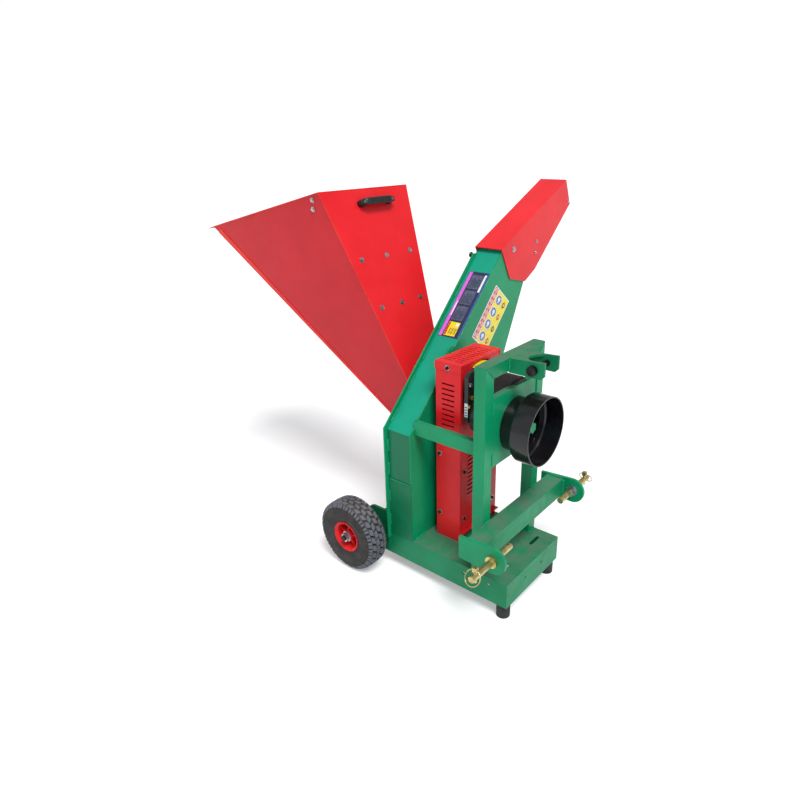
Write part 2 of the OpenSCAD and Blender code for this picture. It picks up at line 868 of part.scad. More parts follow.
module top_link_pin() {
  color(black) placed() difference() {
    union() {
      ycyl(-lug_y - 3, lug_y + 22, tpin_x, tpin_z, top_pin_r);
      ycyl(-lug_y - 14, -lug_y - gap, tpin_x, tpin_z, 15);
    }
    zcyl(tpin_z - 20, tpin_z + 20, tpin_x, lug_y + 12, 3, 24);
  }
}

// ---- lower hitch ----
module hitch_beam() {
  color(green) placed() difference() {
    box([mx1, -beam_len/2, beam_z - beam_h/2], [mx1 + beam_d, beam_len/2, beam_z + beam_h/2]);
    box([mx1 + 4, -beam_len/2 - 1, beam_z - beam_h/2 + 4], [mx1 + beam_d - 4, beam_len/2 + 1,
        beam_z + beam_h/2 - 4]);
  }
}

module ear_shape() {
  difference() {
    hull() {
      translate([0, pin_z]) circle(r = ear_r, $fn = 64);
      translate([mx1 - 26, beam_z - 44]) square([60, 76]);
    }
    translate([0, pin_z]) circle(r = pin_r, $fn = 48);
  }
}

module hitch_ears() {
  color(green) placed() for (s = [-1, 1]) {
    xz_plate(s > 0 ? beam_len/2 : -beam_len/2 - ear_t,
        s > 0 ? beam_len/2 + ear_t : -beam_len/2) ear_shape();
  }
}

// hitch pin drawn for the +Y side, mirrored for the other; the ball seat ends at seat_end
module hitch_pin() {
  difference() {
    union() {
      ycyl(158, seat_end, 0, pin_z, pin_r);
      ycyl(seat_end - 1, pin_out, 0, pin_z, pin_r - 0.6);
      ycyl(beam_len/2 + ear_t, beam_len/2 + ear_t + 10, 0, pin_z, 19);
    }
    zcyl(pin_z - 20, pin_z + 20, 0, pin_out - 20, 5.05, 32);
    zcyl(pin_z - 20, pin_z + 20, 0, 168, 3.5, 24);
  }
}

module hitch_pins() {
  color(zinc) placed() {
    hitch_pin();
    mirror([0, 1, 0]) hitch_pin();
  }
}

module hitch_nuts() {
  color(zinc) placed() for (s = [-1, 1]) {
    difference() {
      union() {
        ycyl(s > 0 ? beam_len/2 - 3 : -beam_len/2, s > 0 ? beam_len/2 : -beam_len/2 + 3, 0, pin_z, 20);
        ycyl(s > 0 ? beam_len/2 - 20 : -beam_len/2 + 3, s > 0 ? beam_len/2 - 3 : -beam_len/2 + 20,
            0, pin_z, 17, 6);
      }
      ycyl(s > 0 ? 180 : -300, s > 0 ? 300 : -180, 0, pin_z, pin_r);
    }
  }
}

module lynch_at(y) {
  difference() {
    union() {
      zcyl(pin_z - 19, pin_z + 20, 0, y, 5, 32);
      box([-7, y - 6, pin_z + 16], [7, y + 6, pin_z + 31]);
    }
    xcyl(-10, 10, y, pin_z + 24, 3.2, 24);
  }
}

// the ring hangs in the eye of the lynch pin and leans out over the end of the hitch pin
module ring_at(y, dir) {
  translate([0, y, pin_z + 24]) rotate([dir*ring_lean, 0, 0]) translate([0, 0, -24]) rotate([90, 0, 0])
    rotate_extrude($fn = 64) translate([24, 0]) circle(r = 1.7, $fn = 24);
}

module lynch_pin_left() {
  color(zinc) placed() lynch_at(pin_out - 20);
}

module lynch_pin_right() {
  color(zinc) placed() lynch_at(-pin_out + 20);
}

module lynch_ring_left() {
  color(zinc) placed() ring_at(pin_out - 20, 1);
}

module lynch_ring_right() {
  color(zinc) placed() ring_at(-pin_out + 20, -1);
}

// ---- hopper ----
// y of the -Y side panel at a place in XZ, inset by e
function side_y(x, z, e) = hop_y - th + kx*(x - hx0) - kz*(z - thr_top) + e*sqrt(1 + kx*kx + kz*kz);
// corners of the hopper section in XZ, inset by e, pushed out by k along the edges
function cor_b(e) = [bx - 1.011*e*cos(mouth_a), bz - 1.011*e*sin(mouth_a)];
function cor_a(e) = [ax + 1.244*e*cos(mouth_a), az + 1.244*e*sin(mouth_a)];
function cor_t(e) = [hx0, thr_top - e/cos(front_a)];
function cor_u(e) = [hx0, thr_bot + e/cos(bottom_a)];

// flat panel between an outer and an inner run of four corners
module panel(out, inn) {
  polyhedron(points = concat(out, inn), faces = [[0, 1, 2, 3], [7, 6, 5, 4], [1, 0, 4, 5], [2, 1, 5, 6],
    [3, 2, 6, 7], [0, 3, 7, 4]]);
}

// corner of the hopper at section point p, on the -Y side, inset by e
function near_pt(p, e) = [p[0], side_y(p[0], p[1], e), p[1]];
function far_pt(p, e) = [p[0], 2*hop_y - side_y(p[0], p[1], e), p[1]];
// the four corners of a panel that spans the width between section points p and q
function span_pts(p, q, e) = [near_pt(p, e), near_pt(q, e), far_pt(q, e), far_pt(p, e)];
// the four corners of the -Y side panel
function side_pts(e) = [near_pt(cor_a(e), e), near_pt(cor_b(e), e), near_pt(cor_t(e), e), near_pt(cor_u(e), e)];

flange_holes = [[hop_y - th + 20, thr_top + 36], [hop_y, thr_top + 36], [hop_y + th - 20, thr_top + 36],
  [hop_y - th - 12, thr_top - 60], [hop_y + th + 12, thr_top - 60],
  [hop_y - th - 6, thr_bot + 30], [hop_y + th + 6, thr_bot + 30]];

module hopper_front_panel() {
  color(red) placed() difference() {
    panel(span_pts(cor_t(0), cor_b(0), 0), span_pts(cor_t(hop_t), cor_b(hop_t), hop_t));
    for (s = row_up) {
      on_front(s, 234) translate([0, 0, -8]) cylinder(h = 12, r = 4, $fn = 24);
    }
    for (s = row_low) {
      on_front(s, 402) translate([0, 0, -8]) cylinder(h = 12, r = 4, $fn = 24);
    }
  }
}

module hopper_side_panels() {
  color(red) placed() {
    panel(side_pts(0), side_pts(hop_t));
    translate([0, 2*hop_y, 0]) mirror([0, 1, 0]) panel(side_pts(0), side_pts(hop_t));
  }
}

module hopper_floor_panel() {
  color(red) placed() {
    panel(span_pts(cor_a(0), cor_u(0), 0), span_pts(cor_a(hop_t), cor_u(hop_t), hop_t));
    // folded feed lip at the low side of the mouth
    translate([ax, hop_y, az]) rotate([0, -mouth_a, 0])
      translate([-lip_l, -mh + 3, -hop_t - lip_dip]) cube([lip_l + 4, mouth_w - 6, hop_t]);
  }
}

// bolted flange round the throat
module hopper_flange() {
  color(red) placed() difference() {
    yz_plate(hx0 - 4, hx0) polygon([[hop_y - th - 24, thr_bot - 22], [hop_y - th - 24, thr_top + 50],
      [hop_y + th + 24, thr_top + 50], [hop_y + th + 24, thr_bot - 22]]);
    yz_plate(hx0 - 5, hx0 + 1) polygon([[side_y(hx0 - 4, thr_bot, -throat_gap), thr_bot - throat_gap],
      [side_y(hx0 - 4, flange_top, -throat_gap), flange_top],
      [2*hop_y - side_y(hx0 - 4, flange_top, -throat_gap), flange_top],
      [2*hop_y - side_y(hx0 - 4, thr_bot, -throat_gap), thr_bot - throat_gap]]);
    for (p = flange_holes) {
      xcyl(hx0 - 6, hx0 + 1, p[0], p[1], 4, 24);
    }
  }
}

row_up = [-121, 0, 121];
row_low = [-100, 0, 100];
slope_a = 90 - atan2(hx0 - bx, bz - thr_top);

// local frame on the outside of the front panel, s down from the mouth, local Z outward
module on_front(y, s) {
  translate([bx + s*cos(slope_a), hop_y + y, bz - s*sin(slope_a)]) rotate([0, slope_a, 0]) children();
}

module hopper_handle() {
  color(black) placed() on_front(21, 52) difference() {
    union() {
      translate([-9, -80, 0]) cube([18, 26, 26]);
      translate([-9, 54, 0]) cube([18, 26, 26]);
      translate([-9, -80, 18]) cube([18, 160, 12]);
    }
    for (y = [-67, 67]) {
      translate([0, y, 22]) cylinder(h = 20, r = 6, $fn = 24);
    }
  }
}

module hopper_screws() {
  color(steel) placed() {
    for (s = row_up) {
      on_front(s, 234) panel_screw();
    }
    for (s = row_low) {
      on_front(s, 402) panel_screw();
    }
    for (p = flange_holes) {
      xcyl(hx0 - 4, in0 + 4, p[0], p[1], 4, 24);
      xcyl(hx0 - 10, hx0 - 4, p[0], p[1], 8, 6);
    }
  }
}

module panel_screw() {
  translate([0, 0, -hop_t - 5]) cylinder(h = hop_t + 5, r = 4, $fn = 24);
  cylinder(h = 1.6, r = 9, $fn = 24);
  translate([0, 0, 1.5]) cylinder(h = 4.5, r = 6.5, $fn = 6);
}

// how far the curtain rod sits below the inner face of the front panel
rod_drop = 14;
rod_r = 6;
up_w = 262;
low_w = 214;

// steel strip inside the front panel with an eye at each end for the curtain rod
module hanger(s, wid, row) {
  on_front(0, s) difference() {
    union() {
      translate([-13, -wid/2 - 5, -hop_t - 3.05]) cube([26, wid + 10, 3]);
      for (k = [-1, 1]) {
        translate([-10, k > 0 ? wid/2 + 1 : -wid/2 - 5, -hop_t - rod_drop - 10]) cube([20, 4,
            rod_drop + 9]);
      }
    }
    translate([0, -wid, -hop_t - rod_drop]) rotate([-90, 0, 0]) cylinder(h = 2*wid,
        r = rod_r + run, $fn = 32);
    for (y = row) {
      translate([0, y, -hop_t - 4]) cylinder(h = 6, r = 4, $fn = 24);
    }
  }
}

module flap_hangers() {
  color(steel) placed() {
    hanger(234, up_w, row_up);
    hanger(402, low_w, row_low);
  }
}

// rubber curtain hanging from its rod
module flap(s, wid, len) {
  px = bx + s*cos(slope_a) - (hop_t + rod_drop)*sin(slope_a);
  pz = bz - s*sin(slope_a) - (hop_t + rod_drop)*cos(slope_a);
  ycyl(hop_y - wid/2 - 5, hop_y + wid/2 + 5, px, pz, rod_r, 32);
  box([px - 2.5, hop_y - wid/2, pz - len], [px + 2.5, hop_y + wid/2, pz]);
}

module upper_flap() {
  color(rubber) placed() flap(234, up_w, 170);
}

module lower_flap() {
  color(rubber) placed() flap(402, low_w, 140);
}

// ---- deflector hood ----
// outline in its own frame: u along the top, v across it, pivot at zero
module hood_side() {
  d = hood_drop - 42;
  difference() {
    polygon([[-69, 42], [hood_s, 42], [hood_s, -59], [103, -d + 3], [25, -d], [-2, -d + 22], [-60,
        -85 + 0.1*(154 - d)]]);
    circle(r = 5 + run, $fn = 32);
  }
}

module deflector_hood() {
  x0 = hx0 - 1;
  x1 = hx1 + 1;
  color(red) placed() translate([0, piv_y, piv_z]) rotate([hood_tilt, 0, 0]) {
    yz_plate(x0 - 3, x0) hood_side();
    yz_plate(x1, x1 + 3) hood_side();
    box([x0 - 1, -69, 39], [x1 + 1, hood_s, 42]);
  }
}

base_tray();
rubber_feet();
foot_bolts();
axle();
axle_brackets();
axle_spacer_rings();
axle_nuts();
tyre_left();
tyre_right();
rim_left();
rim_right();
wheel_bushes_left();
wheel_bushes_right();
housing_rear_plate();
housing_front_plate();
chute_back_wall();
housing_side_wall();
chute_outer_wall();
rotor_bearings();
rotor_disc();
rotor_shaft();
cutter_knives();
anvil_blade();
driven_pulley();
drive_pulley();
drive_belts();
guard_back_plate();
guard_body();
guard_lid();
guard_screws();
gearbox_housing();
gearbox_cover();
gearbox_bolts();
gearbox_plugs();
pto_shaft();
cross_plate();
pto_guard_cup();
mast_posts();
mast_top_bar();
mast_arms();
top_link_bracket();
top_link_pin();
hitch_beam();
hitch_ears();
hitch_pins();
hitch_nuts();
lynch_pin_left();
lynch_pin_right();
lynch_ring_left();
lynch_ring_right();
hopper_front_panel();
hopper_side_panels();
hopper_floor_panel();
hopper_flange();
hopper_handle();
hopper_screws();
flap_hangers();
upper_flap();
lower_flap();
deflector_hood();
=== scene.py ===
import math
import random

import bmesh
import bpy
from mathutils import Matrix, Vector


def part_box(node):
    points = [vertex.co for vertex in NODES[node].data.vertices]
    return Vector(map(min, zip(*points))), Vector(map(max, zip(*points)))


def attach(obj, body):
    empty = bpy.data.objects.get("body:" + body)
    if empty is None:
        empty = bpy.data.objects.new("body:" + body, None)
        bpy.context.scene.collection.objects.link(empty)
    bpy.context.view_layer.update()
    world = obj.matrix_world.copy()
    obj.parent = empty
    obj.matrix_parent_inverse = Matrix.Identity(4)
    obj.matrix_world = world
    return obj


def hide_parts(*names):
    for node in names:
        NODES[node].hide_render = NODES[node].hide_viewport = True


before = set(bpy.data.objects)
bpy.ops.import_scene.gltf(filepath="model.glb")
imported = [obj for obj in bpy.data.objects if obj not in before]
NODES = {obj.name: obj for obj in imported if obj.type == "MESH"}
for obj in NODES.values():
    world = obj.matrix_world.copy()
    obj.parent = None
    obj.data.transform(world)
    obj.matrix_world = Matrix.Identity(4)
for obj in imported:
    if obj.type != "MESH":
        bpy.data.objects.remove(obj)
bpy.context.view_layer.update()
random.seed(7)

# The model is drawn in millimetres from the front end of the tray, its middle and the ground.
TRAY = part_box("base_tray")
FRONT_X = TRAY[1].x
MIDDLE_Y = (TRAY[0].y + TRAY[1].y) / 2


def at(x, y, z):
    """A point in millimetres: ahead of the tray's front end, left of its middle and above the ground."""
    return Vector((FRONT_X + x / 1000, MIDDLE_Y + y / 1000, z / 1000))


def round_turn(count):
    """Angles of one full turn in equal steps."""
    return [2 * math.pi * k / count for k in range(count)]


def srgb(r, g, b):
    def lin(c):
        c /= 255
        return c / 12.92 if c < 0.04045 else ((c + 0.055) / 1.055) ** 2.4

    return (lin(r), lin(g), lin(b), 1.0)


# ---------------------------------------------------------------- materials
class Shade:
    """Builds one node material around a Principled shader."""

    def __init__(self, name, metallic=0.0, coat=0.0, specular=0.5):
        self.mat = bpy.data.materials.new(name)
        self.mat.use_nodes = True
        self.tree = self.mat.node_tree
        self.bsdf = self.tree.nodes["Principled BSDF"]
        self.bsdf.inputs["Metallic"].default_value = metallic
        self.bsdf.inputs["Coat Weight"].default_value = coat
        self.bsdf.inputs["Coat Roughness"].default_value = 0.12
        self.bsdf.inputs["Specular IOR Level"].default_value = specular
        self.coords = self.add("ShaderNodeTexCoord").outputs["Object"]
        self.geometry = self.add("ShaderNodeNewGeometry")

    def add(self, kind, **settings):
        node = self.tree.nodes.new(kind)
        for key, value in settings.items():
            setattr(node, key, value)
        return node

    def put(self, socket, value):
        if hasattr(value, "is_output"):
            self.tree.links.new(value, socket)
        else:
            socket.default_value = value

    def stretched(self, scale):
        node = self.add("ShaderNodeMapping")
        self.put(node.inputs["Vector"], self.coords)
        node.inputs["Scale"].default_value = scale
        return node.outputs["Vector"]

    def noise(self, scale, detail=3.0, rough=0.55, coords=None):
        node = self.add("ShaderNodeTexNoise")
        self.put(node.inputs["Vector"], coords or self.coords)
        node.inputs["Scale"].default_value = scale
        node.inputs["Detail"].default_value = detail
        node.inputs["Roughness"].default_value = rough
        return node.outputs["Fac"]

    def span(self, value, lo, hi, to_lo=0.0, to_hi=1.0):
        node = self.add("ShaderNodeMapRange")
        self.put(node.inputs["Value"], value)
        for key, number in (("From Min", lo), ("From Max", hi), ("To Min", to_lo), ("To Max", to_hi)):
            node.inputs[key].default_value = number
        return node.outputs["Result"]

    def calc(self, kind, a, b):
        node = self.add("ShaderNodeMath", operation=kind)
        self.put(node.inputs[0], a)
        self.put(node.inputs[1], b)
        return node.outputs[0]

    def mix(self, factor, a, b):
        node = self.add("ShaderNodeMix", data_type="RGBA")
        self.put(node.inputs["Factor"], factor)
        self.put(node.inputs[6], a)
        self.put(node.inputs[7], b)
        return node.outputs[2]

    def facing_up(self, lo=0.75, hi=0.97):
        split = self.add("ShaderNodeSeparateXYZ")
        self.put(split.inputs[0], self.geometry.outputs["Normal"])
        return self.span(split.outputs["Z"], lo, hi)

    def rounded(self, radius):
        node = self.add("ShaderNodeBevel", samples=4)
        node.inputs["Radius"].default_value = radius
        return node.outputs["Normal"]

    def edges(self, radius, lo=0.02, hi=0.25):
        """1 along sharp edges, 0 on flats."""
        dot = self.add("ShaderNodeVectorMath", operation="DOT_PRODUCT")
        self.put(dot.inputs[0], self.rounded(radius))
        self.put(dot.inputs[1], self.geometry.outputs["Normal"])
        return self.span(self.calc("SUBTRACT", 1.0, dot.outputs["Value"]), lo, hi)

    def bump(self, height, strength, distance=0.001, radius=0.0):
        node = self.add("ShaderNodeBump")
        self.put(node.inputs["Height"], height)
        node.inputs["Strength"].default_value = strength
        node.inputs["Distance"].default_value = distance
        if radius:
            self.put(node.inputs["Normal"], self.rounded(radius))
        self.put(self.bsdf.inputs["Normal"], node.outputs["Normal"])

    def done(self, colour, roughness):
        self.put(self.bsdf.inputs["Base Color"], colour)
        self.put(self.bsdf.inputs["Roughness"], roughness)
        return self.mat


def paint(name, colour, shade, dust, dusty=0.25, rough=(0.28, 0.44), coat=0.06, painted_upright_shade=None):
    """Sprayed enamel: cloudy tone, orange peel, worn edges and dust that settles on what faces up, and, where
    a colour for upright faces is given, painted shade in that colour on faces that stand upright.
    """
    s = Shade(name, coat=coat, specular=0.22)
    cloud = s.span(s.noise(5.5, 4), 0.32, 0.68)
    tone = s.mix(cloud, shade, colour)
    # painted shade: faces that stand upright take the darker colour given for them
    if painted_upright_shade:
        tone = s.mix(s.facing_up(0.2, 0.5), painted_upright_shade, tone)
    streak = s.span(s.noise(16, 3, coords=s.stretched((1, 1, 0.12))), 0.56, 0.78, 0, 0.35)
    tone = s.mix(streak, tone, shade)
    settled = s.calc("MULTIPLY", s.facing_up(), s.span(s.noise(21, 6, 0.7), 0.36, 0.62, 0.15, 1))
    film = s.span(s.noise(46, 5, 0.7), 0.55, 0.8, 0, 0.04)
    mask = s.calc("MAXIMUM", s.calc("MULTIPLY", settled, dusty), film)
    tone = s.mix(mask, tone, dust)
    worn = s.calc("MULTIPLY", s.edges(0.0012), s.span(s.noise(60, 4, 0.7), 0.6, 0.72, 0, 0.35))
    tone = s.mix(worn, tone, (0.10, 0.11, 0.10, 1))
    s.bump(s.noise(420, 2), 0.05, 0.0006, radius=0.0012)
    wide = s.span(s.noise(30, 4), 0.3, 0.7, rough[0], rough[1])
    return s.done(tone, s.calc("ADD", wide, s.calc("MULTIPLY", mask, 0.3)))


def metal(name, colour, shade, rough=(0.22, 0.4), stain=None):
    """Bare or plated metal: fine grain, cloudy tone and, where a stain is given, blotches of it."""
    s = Shade(name, metallic=0.92)
    tone = s.mix(s.span(s.noise(38, 4), 0.35, 0.65), shade, colour)
    if stain:
        tone = s.mix(s.span(s.noise(75, 5, 0.65), 0.5, 0.75, 0, 0.55), tone, stain)
    s.bump(s.noise(340, 3), 0.10, 0.0004, radius=0.0007)
    return s.done(tone, s.span(s.noise(120, 3), 0.3, 0.7, rough[0], rough[1]))


def moulded(name, colour, shade, dust, rough, grain, dusty, strength):
    """Castings, plastic and rubber: grained surface with a film of dust."""
    s = Shade(name, specular=0.45)
    tone = s.mix(s.span(s.noise(12, 4), 0.35, 0.65), shade, colour)
    film = s.span(s.noise(33, 6, 0.7), 0.45, 0.75, 0, dusty)
    settled = s.calc("MULTIPLY", s.facing_up(0.5, 0.95), dusty)
    mask = s.calc("MAXIMUM", film, settled)
    tone = s.mix(mask, tone, dust)
    s.bump(s.noise(grain, 2), strength, 0.0005, radius=0.001)
    return s.done(tone, s.span(s.noise(25, 4), 0.3, 0.7, rough[0], rough[1]))


def printed(name, colour, shade):
    """Ink on glossy vinyl."""
    s = Shade(name, coat=0.3)
    tone = s.mix(s.span(s.noise(70, 4, 0.65), 0.35, 0.7), shade, colour)
    s.bump(s.noise(900, 1), 0.04, 0.0003)
    return s.done(tone, s.span(s.noise(40, 3), 0.3, 0.7, 0.22, 0.38))


GREEN = paint("green enamel", srgb(6, 150, 100), srgb(4, 134, 88), srgb(84, 136, 108), dusty=0.2)
# darker copy of the green enamel: painted shade for the housing's side wall and the axle brackets
GREEN_PAINTED_SHADE = paint("green enamel, painted shade", srgb(12, 118, 78), srgb(8, 96, 62), srgb(88, 118, 94), dusty=0.15)
# turquoise-green for the chute's leaning back, with painted shade in a darker green on its upright faces
GREEN_SLOPE_WITH_PAINTED_SHADE = paint(
    "green enamel, slope with painted shade", srgb(18, 158, 128), srgb(14, 142, 114), srgb(90, 140, 118),
    dusty=0.1, painted_upright_shade=srgb(10, 108, 72),
)
GREEN_DUSTY = paint(
    "green enamel, dusty", srgb(12, 138, 92), srgb(8, 118, 76), srgb(92, 118, 100),
    dusty=0.8, rough=(0.36, 0.56),
)
RED = paint(
    "red powder coat", srgb(230, 34, 42), srgb(216, 26, 34), srgb(214, 84, 80), dusty=0.05, rough=(0.28, 0.4)
)
# darker copy of the red: painted shade for the hopper's side and floor panels
RED_PAINTED_SHADE = paint("red sheet, painted shade", srgb(212, 30, 42), srgb(200, 24, 36), srgb(200, 80, 76), dusty=0.05)
# lighter, glossier red: a painted highlight for the mouth's rolled edge, the front panel's edges and the
# lower corner folds
RED_PAINTED_HIGHLIGHT = paint(
    "red, painted highlight", srgb(240, 58, 46), srgb(222, 40, 34), srgb(226, 120, 104), dusty=0.05, rough=(0.2, 0.3)
)
RIM_RED = paint("red wheel", srgb(212, 26, 32), srgb(186, 20, 26), srgb(156, 84, 74), dusty=0.15)
CAST = moulded(
    "black casting", srgb(34, 34, 37), srgb(20, 20, 22), srgb(92, 86, 76),
    rough=(0.35, 0.55), grain=260, dusty=0.22, strength=0.45,
)
CUP = moulded(
    "black guard plastic", srgb(18, 19, 25), srgb(10, 10, 13), srgb(74, 60, 50),
    rough=(0.12, 0.26), grain=500, dusty=0.07, strength=0.03,
)
PLASTIC = moulded(
    "black plastic", srgb(26, 26, 29), srgb(18, 18, 20), srgb(90, 86, 80),
    rough=(0.35, 0.5), grain=1200, dusty=0.12, strength=0.15,
)
RUBBER = moulded(
    "black rubber", srgb(30, 30, 31), srgb(20, 20, 21), srgb(96, 90, 82),
    rough=(0.6, 0.8), grain=700, dusty=0.2, strength=0.2,
)
TYRE = moulded(
    "tyre rubber", srgb(42, 42, 45), srgb(26, 26, 28), srgb(86, 72, 58),
    rough=(0.62, 0.85), grain=500, dusty=0.55, strength=0.25,
)
TREAD = moulded(
    "tread blocks", srgb(104, 108, 118), srgb(78, 81, 89), srgb(116, 108, 98),
    rough=(0.62, 0.85), grain=500, dusty=0.30, strength=0.25,
)
STEEL = metal("bright steel", srgb(196, 198, 202), srgb(150, 152, 158))
ROTOR = metal(
    "dull steel", srgb(150, 150, 150), srgb(96, 96, 98), rough=(0.35, 0.55), stain=srgb(110, 84, 66)
)
ZINC = metal(
    "yellow zinc", srgb(212, 198, 142), srgb(176, 160, 104), rough=(0.24, 0.42), stain=srgb(190, 166, 140)
)
BRASS = metal("brass", srgb(206, 164, 76), srgb(160, 120, 48))
DARK_STEEL = metal("black oxide", srgb(58, 56, 58), srgb(36, 35, 37), (0.3, 0.5))
VIOLET = printed("violet print", srgb(228, 104, 222), srgb(206, 92, 204))
NAVY = printed("navy print", srgb(34, 44, 84), srgb(26, 34, 66))
SLATE = printed("slate print", srgb(92, 100, 124), srgb(66, 74, 98))
YELLOW = printed("yellow print", srgb(240, 222, 30), srgb(226, 202, 24))
WHITE = printed("white print", srgb(238, 240, 242), srgb(216, 220, 224))
PRINT_RED = printed("red print", srgb(214, 40, 44), srgb(192, 32, 38))
BLUE = printed("blue print", srgb(52, 112, 190), srgb(40, 92, 168))
BLACK = printed("black print", srgb(40, 40, 42), srgb(28, 28, 30))


# ---------------------------------------------------------------- mesh tools
class Build:
    """Collects vertices, faces and a material number for each face, all in metres in the row frame."""

    def __init__(self):
        self.verts, self.faces, self.marks = [], [], []

    def add(self, verts, faces, mark=0):
        start = len(self.verts)
        self.verts += [tuple(v) for v in verts]
        self.faces += [tuple(start + i for i in f) for f in faces]
        self.marks += [mark] * len(faces)

    def rings(self, rings, closed=False, mark=0, caps=True):
        """Skins a run of rings, each with the same number of points."""
        n = len(rings[0])
        verts = [p for ring in rings for p in ring]
        faces = []
        for i in range(len(rings) if closed else len(rings) - 1):
            a, b = i * n, ((i + 1) % len(rings)) * n
            faces += [(a + j, a + (j + 1) % n, b + (j + 1) % n, b + j) for j in range(n)]
        if caps and not closed:
            faces += [tuple(range(n - 1, -1, -1)), tuple((len(rings) - 1) * n + j for j in range(n))]
        self.add(verts, faces, mark)

    def block(self, corners, mark=0):
        """Eight corners, the lower four then the upper four, both anticlockwise from above."""
        sides = [(0, 1, 5, 4), (1, 2, 6, 5), (2, 3, 7, 6), (3, 0, 4, 7)]
        self.add(corners, [(3, 2, 1, 0), (4, 5, 6, 7)] + sides, mark)

    def box(self, lo, hi, mark=0):
        xs, ys, zs = zip(lo, hi)
        low = [(xs[0], ys[0], zs[0]), (xs[1], ys[0], zs[0]), (xs[1], ys[1], zs[0]), (xs[0], ys[1], zs[0])]
        self.block(low + [(x, y, zs[1]) for x, y, _ in low], mark)

    def turned(self, origin, axis, profile, count=32, mark=0, closed=False):
        """Revolves (radius, height) pairs in metres about an axis."""
        axis = Vector(axis).normalized()
        side = axis.orthogonal().normalized()
        other = axis.cross(side)
        turn = round_turn(count)
        rings = []
        for r, h in profile:
            r = max(r, 1e-5)
            rings.append([origin + axis * h + (side * math.cos(a) + other * math.sin(a)) * r for a in turn])
        self.rings(rings, closed, mark)

    def tube(self, points, radius, count=10, mark=0, closed=False):
        """Round tube along points; radius is one number or one for each point."""
        turn = round_turn(count)
        rings = []
        side = None
        total = len(points)
        for i, p in enumerate(points):
            if closed:
                along = (points[(i + 1) % total] - points[i - 1]).normalized()
            else:
                along = (points[min(i + 1, total - 1)] - points[max(i - 1, 0)]).normalized()
            if side is None:
                side = along.orthogonal().normalized()
            side = (side - along * side.dot(along)).normalized()
            other = along.cross(side)
            r = radius[i] if isinstance(radius, list) else radius
            rings.append([p + (side * math.cos(a) + other * math.sin(a)) * r for a in turn])
        self.rings(rings, closed, mark)

    def weld(self, start, end, size=0.0032, pitch=0.0042, mark=0):
        """A rippled fillet bead from start to end."""
        start, end = Vector(start), Vector(end)
        steps = max(int((end - start).length / pitch * 3), 6)
        points, radii = [], []
        for i in range(steps + 1):
            t = i / steps
            ripple = 1 + 0.16 * math.cos(2 * math.pi * i / 3)
            taper = min(1.0, 0.35 + 4.0 * min(t, 1 - t) * (end - start).length / 0.02)
            points.append(start.lerp(end, t))
            radii.append(size * ripple * taper * random.uniform(0.94, 1.06))
        self.tube(points, radii, 8, mark)

    def piece(self, name, body, mats, bevel=0.0, smooth=35.0, replaces=()):
        mesh = bpy.data.meshes.new(name)
        mesh.from_pydata(self.verts, [], self.faces)
        for m in mats:
            mesh.materials.append(m)
        mesh.polygons.foreach_set("material_index", self.marks)
        mesh.validate()
        obj = bpy.data.objects.new(name, mesh)
        bpy.context.scene.collection.objects.link(obj)
        tidy_normals(mesh)
        if bevel:
            mod = obj.modifiers.new("edge", "BEVEL")
            mod.width = bevel
            mod.segments = 2
            mod.limit_method = "ANGLE"
            mod.angle_limit = math.radians(35)
        mesh.polygons.foreach_set("use_smooth", [True] * len(mesh.polygons))
        mesh.set_sharp_from_angle(angle=math.radians(smooth))
        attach(obj, body)
        if replaces:
            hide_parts(*replaces)


def tidy_normals(mesh):
    bm = bmesh.new()
    bm.from_mesh(mesh)
    bmesh.ops.recalc_face_normals(bm, faces=bm.faces)
    bm.to_mesh(mesh)
    bm.free()


# ---------------------------------------------------------------- CAD nodes
LOOKS = {
    GREEN_SLOPE_WITH_PAINTED_SHADE: "chute_back_wall",
    GREEN: "housing_rear_plate housing_front_plate chute_outer_wall cross_plate "
           "mast_posts mast_arms hitch_ears pto_shaft",
    GREEN_PAINTED_SHADE: "axle_brackets housing_side_wall",
    GREEN_DUSTY: "base_tray mast_top_bar top_link_bracket hitch_beam",
    RED: "guard_back_plate guard_body guard_lid hopper_front_panel hopper_flange deflector_hood",
    RED_PAINTED_SHADE: "hopper_side_panels hopper_floor_panel",
    CAST: "gearbox_housing gearbox_cover rotor_bearings",
    CUP: "pto_guard_cup",
    PLASTIC: "wheel_bushes_left wheel_bushes_right",
    RUBBER: "rubber_feet drive_belts upper_flap lower_flap",
    STEEL: "foot_bolts axle_spacer_rings axle_nuts hitch_nuts gearbox_bolts hopper_screws flap_hangers",
    ROTOR: "rotor_disc rotor_shaft cutter_knives anvil_blade driven_pulley drive_pulley",
    ZINC: "hitch_pins lynch_pin_left lynch_pin_right lynch_ring_left lynch_ring_right",
    BRASS: "gearbox_plugs",
    DARK_STEEL: "top_link_pin axle",
}
for look, names in LOOKS.items():
    for name in names.split():
        mesh = NODES[name].data
        mesh.materials.clear()
        mesh.materials.append(look)


# ---------------------------------------------------------------- wheels
# the axle's place, half the track and the tyre's radius
WHEEL_X, WHEEL_Z, TRACK, TYRE_R = -589, 130, 241.5, 130
# blocks in each row, the angle from one to the next, and the carcass under the flat middle of the tread
LUGS = 27
PITCH = 2 * math.pi / LUGS
CROWN_R, FLAT_HALF = 124.6, 17


def wheel_point(side, radius, across, angle):
    """A point of a wheel, across in millimetres outwards from its middle plane."""
    return at(
        WHEEL_X + radius * math.cos(angle), side * (TRACK + across), WHEEL_Z + radius * math.sin(angle)
    )


def wheel_turned(b, side, profile, count):
    """Revolves (radius, across) pairs, a closed outline, about the wheel's axle."""
    b.rings([[wheel_point(side, r, h, a) for r, h in profile] for a in round_turn(count)], closed=True)


